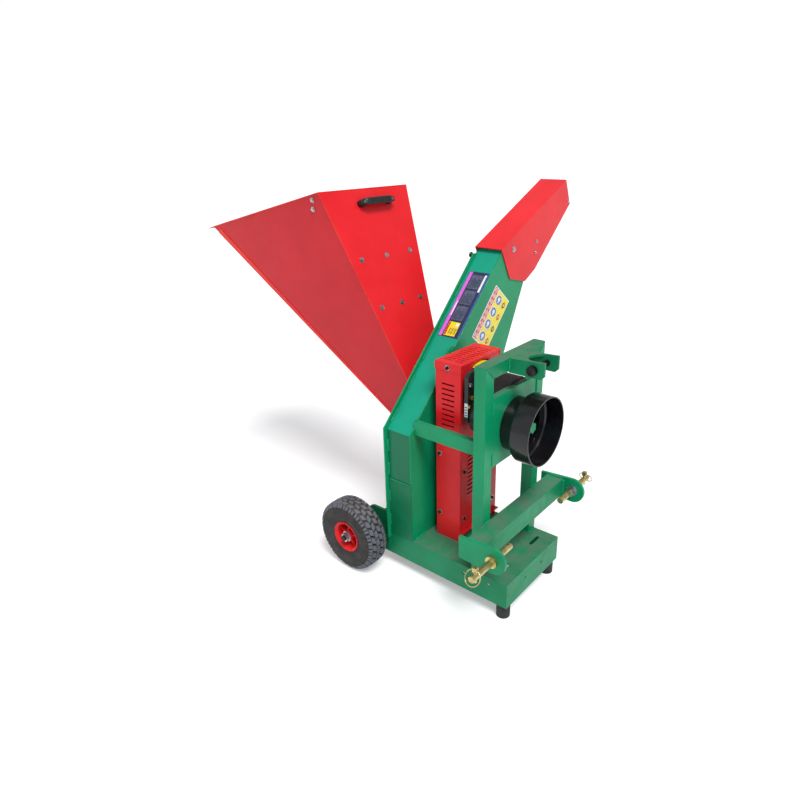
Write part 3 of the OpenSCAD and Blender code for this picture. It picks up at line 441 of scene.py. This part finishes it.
def tread_row(b, side, middle, half, slant, offset):
    """One row of slanted blocks round the crown, narrower at the top than at the foot."""
    sunk, tall, width = 2, 5.2, PITCH * 0.37
    for k in range(LUGS):
        a0 = 2 * math.pi * (k + offset) / LUGS
        low, high = [], []
        for u, v in ((-1, -1), (1, -1), (1, 1), (-1, 1)):
            y = middle + half * v
            a = a0 + width * u + slant * v * width
            crown = CROWN_R if abs(y) < FLAT_HALF else CROWN_R - (abs(y) - FLAT_HALF) * 0.14
            low.append(wheel_point(side, crown - sunk, y, a))
            high.append(wheel_point(side, min(crown + tall, TYRE_R - 0.15), y * 0.985, a0 + (a - a0) * 0.9))
        b.block(low + high, 1)


def shoulder_lugs(b, side, edge):
    """Pairs of lugs that run from the tread down on to one side wall."""
    apart, half = 0.052, 0.036
    for k in range(LUGS):
        a0 = 2 * math.pi * (k + (0.0 if edge < 0 else 0.5)) / LUGS
        for part in (-1, 1):
            low, high = [], []
            for u, v in ((-1, 0), (1, 0), (1, 1), (-1, 1)):
                y = edge * (32.5 + 6.0 * v)
                r = 121.5 - 9.5 * v
                a = a0 + part * apart + half * u
                low.append(wheel_point(side, r - 3, y - edge * 2, a))
                high.append(
                    wheel_point(side, r + 4.4 - 2.2 * v, y + edge * (0.8 + 1.5 * v), a0 + (a - a0) * 0.94)
                )
            b.block(low + high, 1)


def side_wall_ribs(b, side, edge):
    """Moulded rings and short ribs on one side wall."""
    for radius, across, thick in ((63, 37.9, 0.9), (96, 41.4, 0.8), (108, 39.9, 0.9)):
        points = [wheel_point(side, radius, edge * across, a) for a in round_turn(72)]
        b.tube(points, thick / 1000, 6, closed=True)
    for a in round_turn(2 * LUGS):
        ends = [wheel_point(side, 98, edge * 41.2, a), wheel_point(side, 107, edge * 39.9, a + 0.015)]
        b.tube(ends, 0.0008, 6)


def tyre(side, which):
    b = Build()
    wall = [
        (52, 30), (54, 34), (60, 37), (72, 40.5), (88, 42), (102, 41.5), (112, 39), (119, 34), (122.5, 27),
        (124.5, 14),
    ]
    inside = [(49.5, 24), (49.5, 0), (49.5, -24)]
    wheel_turned(b, side, [(r, -h) for r, h in wall] + [(125, 0)] + wall[::-1] + inside, 96)
    # two rows of slanted centre blocks, two rows beside them, and the shoulder lugs
    tread_row(b, side, -8.5, 6.4, 0.34, 0.0)
    tread_row(b, side, 8.5, 6.4, -0.34, 0.5)
    tread_row(b, side, -24.5, 6.2, -0.30, 0.5)
    tread_row(b, side, 24.5, 6.2, 0.30, 0.0)
    for edge in (-1, 1):
        shoulder_lugs(b, side, edge)
    for edge in (-1, 1):
        side_wall_ribs(b, side, edge)
    looks = [TYRE, TREAD]
    b.piece("tyre_tread_" + which, "wheel_" + which, looks, smooth=38, replaces=["tyre_" + which])


def rim_rib(b, side, face, a):
    """One rib of the web, from the hub out to the barrel."""
    hub_r, barrel_r, web, tall, half = 19, 45, 4, 25, 2.3
    corners = []
    for h, barrel_h in ((web, web), (tall, tall - 6)):
        for r, turn in ((hub_r, -1), (barrel_r, -1), (barrel_r, 1), (hub_r, 1)):
            reach = h if r == hub_r else barrel_h
            corners.append(wheel_point(side, r, face * reach, a + turn * (half / r)))
    b.block(corners)


def rim(side, which):
    b = Build()
    # folded barrel with rolled flanges, closed by a dished web on the middle plane
    outer = [
        (56, 33.5), (56.6, 36.5), (55.6, 38.4), (53.4, 38.2), (51.5, 36.2), (48.2, 34.5), (45.8, 31),
        (44.4, 25), (42.5, 6), (38, 4.2), (24, 4.2), (20.4, 6), (19.8, 27), (18.8, 29.4), (15, 29.8),
    ]
    back = [(r, -h) for r, h in reversed(outer)]
    well = [(49.2, -22), (49.2, 22)]
    wheel_turned(b, side, outer + back + well, 72)
    for face in (-1, 1):
        for k in range(5):
            rim_rib(b, side, face, 2 * math.pi * k / 5 + math.radians(18))
    b.piece("wheel_rim_" + which, "wheel_" + which, [RIM_RED], replaces=["rim_" + which])


for sign, which in ((1, "left"), (-1, "right")):
    tyre(sign, which)
    rim(sign, which)


# ---------------------------------------------------------------- welds
# half the tray's width, its top, the chute's bend and lean
HALF, BASE_TOP, BEND_Z, LEAN = 163.5, 137, 535, math.radians(45.2)
# the housing's rear and front plates, then the mast's tube, its faces and the height of its upper mitres
REAR_X, PLATE_X = -484, -380
TUBE, MAST_FRONT, MAST_REAR, MAST_Z0, MAST_Z1 = 40, -95, -135, 787, 826
FLOOR_Z = BASE_TOP + 1


def on_slope(x, s, out=0.0):
    """A point on the leaning back of the chute, s up the slope from the bend."""
    y = -HALF + s * math.cos(LEAN) - out * math.sin(LEAN)
    z = BEND_Z + s * math.sin(LEAN) + out * math.cos(LEAN)
    return at(x, y, z)


def housing_welds():
    b = Build()
    # stitches between the rear plate and the chute wall, below the bend and up the slope
    stitch_x, stitch_y = REAR_X + 6.5, -HALF - 1.2
    for z in (168, 262, 366, 452):
        b.weld(at(stitch_x, stitch_y, z), at(stitch_x, stitch_y, z + 46))
    for s in (24, 150, 262, 388, 520):
        b.weld(on_slope(stitch_x, s, 1.0), on_slope(stitch_x, s + 58, 1.0), 0.0034)
    # long seam that closes the chute along the front plate, and the joint across the side wall
    seam_x, seam_y, joint_y, joint_z = PLATE_X - 1.2, -HALF - 0.2, -HALF - 2.6, 353
    b.weld(on_slope(seam_x, 8, 0.2), on_slope(seam_x, 660, 0.2), 0.0016, 0.005)
    b.weld(at(seam_x, seam_y, joint_z + 3), at(seam_x, seam_y, BEND_Z - 4), 0.0016, 0.005)
    b.weld(at(REAR_X + 8, joint_y, joint_z), at(PLATE_X - 2, joint_y, joint_z), 0.002)
    # foot of the housing on the tray
    for y0, y1 in ((-150, -80), (60, 150)):
        b.weld(at(PLATE_X + 1, y0, FLOOR_Z), at(PLATE_X + 1, y1, FLOOR_Z))
    # mast posts on the tray
    for side in (-1, 1):
        y_in, y_out = side * (HALF - TUBE), side * (HALF - 1.5)
        for x in (MAST_FRONT + 1, MAST_REAR - 1):
            b.weld(at(x, y_in, FLOOR_Z), at(x, y_out, FLOOR_Z), 0.0036)
        b.weld(at(MAST_REAR + 1, y_in - side, FLOOR_Z), at(MAST_FRONT - 1, y_in - side, FLOOR_Z), 0.0036)
    b.piece("weld_beads_housing", "chassis", [GREEN])


def mast_welds():
    b = Build()
    ear_y, lug_y, fine = 241, 46.2, 0.005
    for side in (-1, 1):
        y_in = side * (HALF - TUBE)
        # hitch beam to the posts, and the ears to the beam
        for z in (254, 320):
            b.weld(at(MAST_FRONT + 1.5, y_in, z), at(MAST_FRONT + 1.5, side * HALF, z), 0.0036)
        for z in (253.5, 320.5):
            b.weld(at(-92, side * ear_y, z), at(-38, side * ear_y, z), 0.0032)
        b.weld(at(-33.5, side * ear_y, 258), at(-33.5, side * ear_y, 316), 0.0032)
        # cross plate to the posts
        plate_x, plate_y = MAST_FRONT + 0.8, y_in - side * 0.8
        for z0, z1 in ((506, 548), (668, 716)):
            b.weld(at(plate_x, plate_y, z0), at(plate_x, plate_y, z1), 0.0028)
        # lugs of the top link bracket
        b.weld(at(MAST_FRONT + 1.2, side * lug_y, 786), at(MAST_FRONT + 1.2, side * lug_y, 824), 0.0034)
        # mitres of the mast
        for x, size in ((MAST_FRONT + 0.4, 0.0015), (MAST_REAR + 1.5, 0.0011)):
            b.weld(at(x, y_in, MAST_Z0), at(x, side * (HALF - 1), MAST_Z1), size, fine)
    b.weld(at(MAST_FRONT + 0.6, -44, 827.1), at(MAST_FRONT + 0.6, 44, 827.1), 0.0016)
    # ends of the two arms, on the front plate and on the posts
    for y0, y1 in ((-143.5, -123.5), (149.5, 163.5)):
        for z in (534, 582):
            for x in (PLATE_X + 1.4, MAST_REAR - 1.4):
                b.weld(at(x, y0, z), at(x, y1, z), 0.0028)
    b.piece("weld_beads_mast", "chassis", [GREEN])


def bracket_welds():
    b = Build()
    for side in (-1, 1):
        y = side * (HALF + 1.2)
        b.weld(at(-520, y, 52), at(-520, y, 128), 0.003)
        b.weld(at(-516, y, 138), at(-488, y, 138), 0.003)
    b.piece("weld_beads_brackets", "chassis", [GREEN])


def cross_plate_fold():
    """Folded top edge of the cross plate."""
    b = Build()
    top, half = 724, HALF - TUBE - 0.5
    b.box(at(-119, -half, top - 4), at(MAST_FRONT - 0.4, half, top + 0.2))
    b.piece("cross_plate_fold", "chassis", [GREEN_DUSTY], bevel=0.0012)


housing_welds()
mast_welds()
bracket_welds()
cross_plate_fold()


# ---------------------------------------------------------------- labels
def corners(u0, v0, u1, v1):
    return ((u0, v0), (u1, v0), (u1, v1), (u0, v1))


def label(name, base, corner, along, across, patches):
    """Generic vinyl label: patches are (u0, v0, u1, v1, material, level) in millimetres from corner."""
    b = Build()
    out = along.cross(across).normalized()
    thick = 0.00035
    mats = []
    for u0, v0, u1, v1, mat, level in [base] + patches:
        if mat not in mats:
            mats.append(mat)
        flat = [corner + along * u / 1000 + across * v / 1000 for u, v in corners(u0, v0, u1, v1)]
        low, high = out * (thick * 0.1), out * (thick * (level + 1))
        b.block([p + low for p in flat] + [p + high for p in flat], mats.index(mat))
    b.piece(name, "chassis", mats, smooth=20)


def notice_label():
    """Long label on the slope: a violet band, a yellow panel and three panels of dark lines."""
    long_side, short_side = 265, 86
    patches = [(2, 71, 263, 84, VIOLET, 1), (84, 72.5, 140, 77, WHITE, 2), (2, 2, 263, 6, BLUE, 1)]
    patches += [(6, 20, 60, 66, YELLOW, 1), (8, 58, 58, 65, PRINT_RED, 2), (44, 24, 56, 34, WHITE, 2)]
    for k in range(3):
        u = 68 + k * 64
        patches.append((u, 20, u + 56, 66, SLATE, 1))
        for j in range(8):
            patches.append((u + 4, 24 + j * 5, u + 50 - (j * 11) % 17, 26 + j * 5, NAVY, 2))
    patches.append((186, 9, 256, 17, WHITE, 1))
    for k in range(5):
        v = 24 + k * 6
        line = (12, v, 38, v + 2, PRINT_RED, 2) if k % 2 else (12, v, 36, v + 2.5, BLACK, 2)
        patches.append(line)
    up_slope, back = Vector((0, math.cos(LEAN), math.sin(LEAN))), Vector((-1, 0, 0))
    base = (0, 0, long_side, short_side, NAVY, 0)
    label("notice_label_slope", base, on_slope(PLATE_X - 3, 366, 0.02), up_slope, back, patches)


def gearbox_cover_label():
    """Curved yellow label on top of the round gearbox cover."""
    b = Build()
    centre_y, centre_z, steps = 38, 672, 16
    rings = []
    for k in range(steps + 1):
        a = math.radians(62 + 56 * k / steps)
        outline = ((-258, 90.2), (-238, 90.2), (-238, 90.7), (-258, 90.7))
        rings.append([at(x, centre_y + r * math.cos(a), centre_z + r * math.sin(a)) for x, r in outline])
    b.rings(rings)
    b.piece("gearbox_cover_label", "chassis", [YELLOW], smooth=50)


def gearbox_rating_label():
    """Small white label with four grey lines on the side of the gearbox."""
    lines = [(2, 4 + 9 * k, 10, 8 + 9 * k, SLATE, 1) for k in range(4)]
    forward, up = Vector((1, 0, 0)), Vector((0, 0, 1))
    label("gearbox_rating_label", (0, 0, 12, 46, WHITE, 0), at(-235, -70.1, 612), forward, up, lines)


def pictogram_label():
    """Yellow label with two red bands and four round signs on the front plate, its long side up the slope."""
    b = Build()
    mats = [WHITE, YELLOW, PRINT_RED, BLUE, BLACK]
    white, yellow, red, blue, black = range(5)
    low_left, top_left = Vector((-381, 176, 786)), Vector((-381, 314, 935))
    right_way = Vector((0, 89, -76)).normalized()
    up_way = (top_left - low_left).normalized()
    long_side = (top_left - low_left).length
    skin = 0.03

    def on_label(u, v, out):
        p = low_left + up_way * u + right_way * v
        return at(PLATE_X + out, p.y, p.z)

    def patch(u0, v0, u1, v1, mark, out):
        b.block([on_label(u, v, h) for h in (skin, out) for u, v in corners(u0, v0, u1, v1)], mark)

    def disc(u, v, radius, mark, out):
        edge = [(u + radius * math.cos(a), v + radius * math.sin(a)) for a in round_turn(28)]
        b.rings([[on_label(x, y, h) for x, y in edge] for h in (skin, out)], mark=mark)

    patch(-4, -3, long_side + 3, 112, white, 0.25)
    patch(0, 27, long_side, 110, yellow, 0.4)
    patch(0, 1, long_side, 12, red, 0.4)
    patch(0, 14, long_side, 24, red, 0.4)
    for k in range(9):
        u = 6 + k * 22.6
        patch(u, 4.5, 18 + k * 22.6, 8, white, 0.55)
        patch(u, 17, 21 + k * 22.6, 20, white, 0.55)
    for k in range(4):
        u = 27 + k * 49
        disc(u, 50, 19, white, 0.55)
        disc(u, 50, 17, blue, 0.7)
        disc(u + 2, 50, 8, white, 0.85)
        patch(u - 11, 46, u - 4, 54, white, 0.85)
        disc(u, 90, 10, black if k % 2 else red, 0.55)
        disc(u + 1, 90, 5.5, yellow, 0.7)
        patch(u - 14, 87, u + 14, 89.5, black, 0.75)
    b.piece("pictogram_label_front", "chassis", mats, smooth=20)


notice_label()
gearbox_cover_label()
gearbox_rating_label()
pictogram_label()


# ---------------------------------------------------------------- hopper dressing
# the mouth's upper edge (BX, BZ) and lower edge (AX, AZ), the throat at REAR_X and the middle in y
BX, BZ, AX, AZ, THROAT_TOP, THROAT_BOTTOM, HOP_Y = -771, 1261, -1375, 1112, 560, 373, 84
MOUTH_HALF, THROAT_HALF = 211, 77
# how far a side panel moves out for each millimetre backwards, and for each millimetre up
KX = 0.04287
KZ = (MOUTH_HALF - THROAT_HALF + KX * (BX - REAR_X)) / (BZ - THROAT_TOP)
FRONT_SLOPE = math.atan2(BZ - THROAT_TOP, REAR_X - BX)
# the handle's middle, its distance below the mouth and half its length
HANDLE_Y, HANDLE_S, HANDLE_HALF = 21, 52, 66


def panel_y(x, z, side=-1):
    """Outer face of a side panel."""
    half = THROAT_HALF - KX * (x - REAR_X) + KZ * (z - THROAT_TOP)
    return HOP_Y + side * half


def on_front(y, s, out=0.0):
    """A point on the front panel, s down from the mouth, y from the middle of the hopper."""
    x = BX + s * math.cos(FRONT_SLOPE) + out * math.sin(FRONT_SLOPE)
    z = BZ - s * math.sin(FRONT_SLOPE) + out * math.cos(FRONT_SLOPE)
    return at(x, HOP_Y + y, z)


def front_axes(y, s, out=0.0):
    """A point on the front panel, the direction out of the panel and the direction down it."""
    spot = on_front(y, s, out)
    return spot, (on_front(y, s, out + 1) - spot).normalized(), (on_front(y, s + 1, out) - spot).normalized()


def oval(centre, wide, high, half_w, half_h, power, count):
    """A ring between an ellipse and a rectangle, half_w along wide and half_h along high."""
    ring = []
    for a in round_turn(count):
        c, s = math.cos(a), math.sin(a)
        u = half_w * math.copysign(abs(c) ** power, c)
        v = half_h * math.copysign(abs(s) ** power, s)
        ring.append(centre + wide * u + high * v)
    return ring


def grab_handle():
    """Moulded handle: a flattened arch that stands on two feet."""
    b = Build()
    steps, rise = 24, 24
    arch = []
    for k in range(steps + 1):
        t = k / steps
        y = HANDLE_Y - HANDLE_HALF + 2 * HANDLE_HALF * t
        lift = rise * min(1.0, math.sin(math.pi * t) * 4.5) ** 0.5 if 0 < t < 1 else 2
        arch.append(on_front(y, HANDLE_S, lift))
    down = front_axes(0, HANDLE_S)[2]
    rings = []
    for i, p in enumerate(arch):
        along = (arch[min(i + 1, steps)] - arch[max(i - 1, 0)]).normalized()
        out = along.cross(down).normalized()
        rings.append(oval(p, down, out, 0.0125, 0.0080, 0.6, 16))
    b.rings(rings)
    for y in (HANDLE_Y - HANDLE_HALF - 1, HANDLE_Y + HANDLE_HALF + 1):
        foot, out, down = front_axes(y, HANDLE_S)
        rings = []
        for h, grow in ((0.0, 1.15), (0.004, 1.15), (0.014, 1.12), (0.022, 1.05), (0.026, 0.85)):
            rings.append(oval(foot + out * h, Vector((0, 1, 0)), down, 0.0128 * grow, 0.009 * grow, 0.7, 20))
        b.rings(rings)
    b.piece("grab_handle", "chassis", [PLASTIC], smooth=50, replaces=["hopper_handle"])


def handle_and_panel_screws():
    """The handle's two screws, and the two in the side panel."""
    b = Build()
    recessed = [
        (0.0048, 0), (0.0048, 0.002), (0.0036, 0.0036), (0.002, 0.0036), (0.002, 0.0022), (0.0, 0.0022),
    ]
    washer_nut = [
        (0.0085, -0.0004), (0.0085, 0.0014), (0.006, 0.0016), (0.006, 0.0052), (0.0045, 0.006), (0, 0.006),
    ]
    for y in (HANDLE_Y - HANDLE_HALF - 1, HANDLE_Y + HANDLE_HALF + 1):
        foot, out, _ = front_axes(y, HANDLE_S, 23)
        b.turned(foot, out, recessed, 20)
    out = Vector((-KX, -1, -0.19)).normalized()
    for x, z in ((-803, 1235), (-808, 1206)):
        b.turned(at(x, panel_y(x, z), z), out, washer_nut, 24)
    b.piece("handle_and_panel_screws", "chassis", [STEEL])


def mouth_edge_roll():
    """Rolled edge along the mouth's sides and top, and down the front panel's two edges to the throat, in a
    lighter red that is a painted highlight.
    """
    b = Build()
    inset = Vector((0, 0, -0.0022))
    high = [at(BX, HOP_Y + side * MOUTH_HALF, BZ) + inset for side in (-1, 1)]
    low = [at(AX, panel_y(AX, AZ, side), AZ) + inset for side in (-1, 1)]
    for k in (0, 1):
        b.tube([low[k], high[k]], 0.0021, 10)
    b.tube(high, 0.0021, 10)
    for k, side in enumerate((-1, 1)):
        b.tube([high[k], at(REAR_X, HOP_Y + side * THROAT_HALF, THROAT_TOP)], 0.0016, 10)
    b.piece("mouth_edge_roll", "chassis", [RED_PAINTED_HIGHLIGHT])


def corner_folds():
    """Folded joint flanges along the two lower corners of the hopper, narrower towards the throat, in a
    lighter red that is a painted highlight.
    """
    b = Build()
    steps = 12
    up = Vector((0.63, 0, 0.77)) / 1000
    for side in (-1, 1):
        skin = Vector((0, side, 0)) * 0.0012
        rings = []
        for k in range(steps + 1):
            t = 0.03 + 0.97 * k / steps
            x = AX + (REAR_X - AX) * t
            z = AZ + (THROAT_BOTTOM - AZ) * t
            y = panel_y(x, z, side) + side * 0.9
            wide = 20 * (1 - t) + 4
            p = at(x, y, z)
            q = at(x, y + side * wide * 0.12, z) + up * wide
            rings.append([p - skin, p + skin, q + skin, q - skin])
        b.rings(rings)
    b.piece("corner_folds_low", "chassis", [RED_PAINTED_HIGHLIGHT])


grab_handle()
handle_and_panel_screws()
mouth_edge_roll()
corner_folds()


# ---------------------------------------------------------------- hood screws and lock knob
# the chute's top end and the hood's pivot
CHUTE_TOP_Y, PIVOT_Y = 350, 415
PIVOT_Z = BEND_Z + (CHUTE_TOP_Y + HALF) * math.tan(LEAN) - 2.6
TILT = math.radians(24.9)


def on_hood(u, v, x):
    """A point on a side of the hood, u along its top from the pivot and v across it."""
    y = PIVOT_Y + u * math.cos(TILT) - v * math.sin(TILT)
    z = PIVOT_Z + u * math.sin(TILT) + v * math.cos(TILT)
    return at(x, y, z)


def hood_screws():
    """The pivot screw and three smaller ones on each side."""
    b = Build()
    head = [
        (0.0105, -0.0002), (0.0105, 0.0012), (0.0066, 0.0013), (0.0066, 0.0028), (0.0058, 0.0044),
        (0.003, 0.0054), (0, 0.0055),
    ]
    for side, x in ((1, -376), (-1, -488)):
        for u, v, size in ((0, 0, 0.95), (146, -58, 0.6), (126, -94, 0.6), (411, -44, 0.6)):
            b.turned(on_hood(u, v, x), Vector((side, 0, 0)), [(r * size, h) for r, h in head], 24)
    b.piece("hood_screws", "hood", [STEEL])


def chute_lock_knob():
    """Round knob on a short stud, on the rear plate near the top of the slope."""
    b = Build()
    spot = on_slope(REAR_X - 1, 690, 12)
    out = Vector((-1, 0, 0))
    stud = [(0.004, 0), (0.004, 0.004), (0.0, 0.004)]
    knob = [
        (0.0, 0.001), (0.008, 0.001), (0.0095, 0.002), (0.0095, 0.007), (0.0075, 0.009), (0.003, 0.0094),
        (0.0, 0.0095),
    ]
    b.turned(spot + out * -0.001, out, stud, 16, 1)
    b.turned(spot, out, knob, 24, 0)
    b.piece("chute_lock_knob", "chassis", [PLASTIC, STEEL])


hood_screws()
chute_lock_knob()


# ---------------------------------------------------------------- guard screws
def guard_screw_heads():
    """Washers and black socket heads on the guard's sides and front."""
    b = Build()
    guard_y, guard_half, back_x, front_x = 38, 108.5, -348, -250
    washer = [
        (0.0, -0.008), (0.003, -0.008), (0.003, -0.0004), (0.0088, -0.0002), (0.0088, 0.0011), (0.0, 0.0011),
    ]
    head = [
        (0.0, 0.001), (0.0056, 0.001), (0.0064, 0.002), (0.006, 0.0038), (0.0044, 0.0052), (0.0026, 0.0054),
        (0.0024, 0.003), (0.0, 0.003),
    ]
    heads = []
    for side in (-1, 1):
        sideways = Vector((0, side, 0))
        for z in (228, 454):
            heads.append((at(back_x + 14, guard_y + side * guard_half, z), sideways))
        heads.append((at(back_x + 48, guard_y + side * (guard_half + 2), 760), sideways))
    for y in (-47, 123):
        for z in (222, 400):
            heads.append((at(front_x, y, z), Vector((1, 0, 0))))
    for spot, out in heads:
        b.turned(spot, out, washer, 28, 1)
        b.turned(spot, out, head, 24, 0)
    b.piece("guard_screw_heads", "chassis", [DARK_STEEL, STEEL], replaces=["guard_screws"])


guard_screw_heads()


# ---------------------------------------------------------------- stage, lamps and camera
def white_floor():
    """White floor that takes shadows and glows a little towards the camera."""
    floor = Shade("floor")
    rays = floor.add("ShaderNodeLightPath")
    seen = floor.calc("MAXIMUM", rays.outputs["Is Camera Ray"], rays.outputs["Is Glossy Ray"])
    seen = floor.calc("MAXIMUM", seen, rays.outputs["Is Transmission Ray"])
    glow = floor.add("ShaderNodeEmission")
    glow.inputs["Color"].default_value = (1, 1, 1, 1)
    floor.put(glow.inputs["Strength"], floor.calc("MULTIPLY", seen, 0.3))
    total = floor.add("ShaderNodeAddShader")
    floor.put(total.inputs[0], floor.bsdf.outputs[0])
    floor.put(total.inputs[1], glow.outputs[0])
    floor.put(floor.tree.nodes["Material Output"].inputs["Surface"], total.outputs[0])
    grey = floor.mix(floor.span(floor.noise(3), 0.4, 0.6), (0.78, 0.78, 0.79, 1), (0.8, 0.8, 0.8, 1))
    floor.done(grey, 0.9)
    mesh = bpy.data.meshes.new("floor")
    reach = 60
    square = [(-reach, -reach, 0), (reach, -reach, 0), (reach, reach, 0), (-reach, reach, 0)]
    mesh.from_pydata(square, [], [(0, 1, 2, 3)])
    mesh.materials.append(floor.mat)
    ground = bpy.data.objects.new("floor", mesh)
    bpy.context.scene.collection.objects.link(ground)


def studio():
    """Even sky light, brighter where the camera sees it directly."""
    lighting, backdrop = 0.5, 1.08
    world = bpy.data.worlds.new("studio")
    bpy.context.scene.world = world
    world.use_nodes = True
    tree = world.node_tree
    sky = tree.nodes["Background"]
    sky.inputs["Color"].default_value = (0.93, 0.97, 1.0, 1)
    path = tree.nodes.new("ShaderNodeLightPath")
    pick = tree.nodes.new("ShaderNodeMath")
    pick.operation = "MAXIMUM"
    tree.links.new(path.outputs["Is Camera Ray"], pick.inputs[0])
    tree.links.new(path.outputs["Is Transmission Ray"], pick.inputs[1])
    level = tree.nodes.new("ShaderNodeMapRange")
    tree.links.new(pick.outputs[0], level.inputs["Value"])
    level.inputs["To Min"].default_value = lighting
    level.inputs["To Max"].default_value = backdrop
    tree.links.new(level.outputs["Result"], sky.inputs["Strength"])


def sun(name, azimuth, elevation, strength, spread):
    """A distant lamp, its direction and spread in degrees."""
    lamp = bpy.data.lights.new(name, "SUN")
    lamp.energy = strength
    lamp.angle = math.radians(spread)
    obj = bpy.data.objects.new(name, lamp)
    a, e = math.radians(azimuth), math.radians(elevation)
    toward = Vector((math.sin(a) * math.cos(e), -math.cos(a) * math.cos(e), math.sin(e)))
    obj.rotation_mode = "QUATERNION"
    obj.rotation_quaternion = toward.to_track_quat("Z", "Y")
    bpy.context.scene.collection.objects.link(obj)


def photo_camera():
    """The camera fitted to the machine's straight edges, where the photograph was taken from."""
    yaw, pitch, roll = math.radians(38.3), math.radians(22.3), math.radians(-0.4)
    camera = bpy.data.cameras.new("camera")
    camera.sensor_width = 36
    camera.lens = 28.16
    camera.shift_x, camera.shift_y = -0.0485, -0.0074
    camera.clip_start, camera.clip_end = 0.05, 200
    ahead = Vector((-math.sin(yaw) * math.cos(pitch), math.cos(yaw) * math.cos(pitch), -math.sin(pitch)))
    right = Vector((math.cos(yaw), math.sin(yaw), 0))
    up = right.cross(ahead)
    right, up = right * math.cos(roll) + up * math.sin(roll), up * math.cos(roll) - right * math.sin(roll)
    place = Matrix((right, up, -ahead)).transposed().to_4x4()
    place.translation = at(804.0, -1513.9, 1417.8)
    obj = bpy.data.objects.new("camera", camera)
    bpy.context.scene.collection.objects.link(obj)
    bpy.context.scene.camera = obj
    obj.matrix_world = place


white_floor()
studio()
sun("key", 62, 58, 2.7, 22)
sun("fill", -20, 28, 0.25, 60)
photo_camera()

bpy.context.scene.view_settings.view_transform = "Standard"
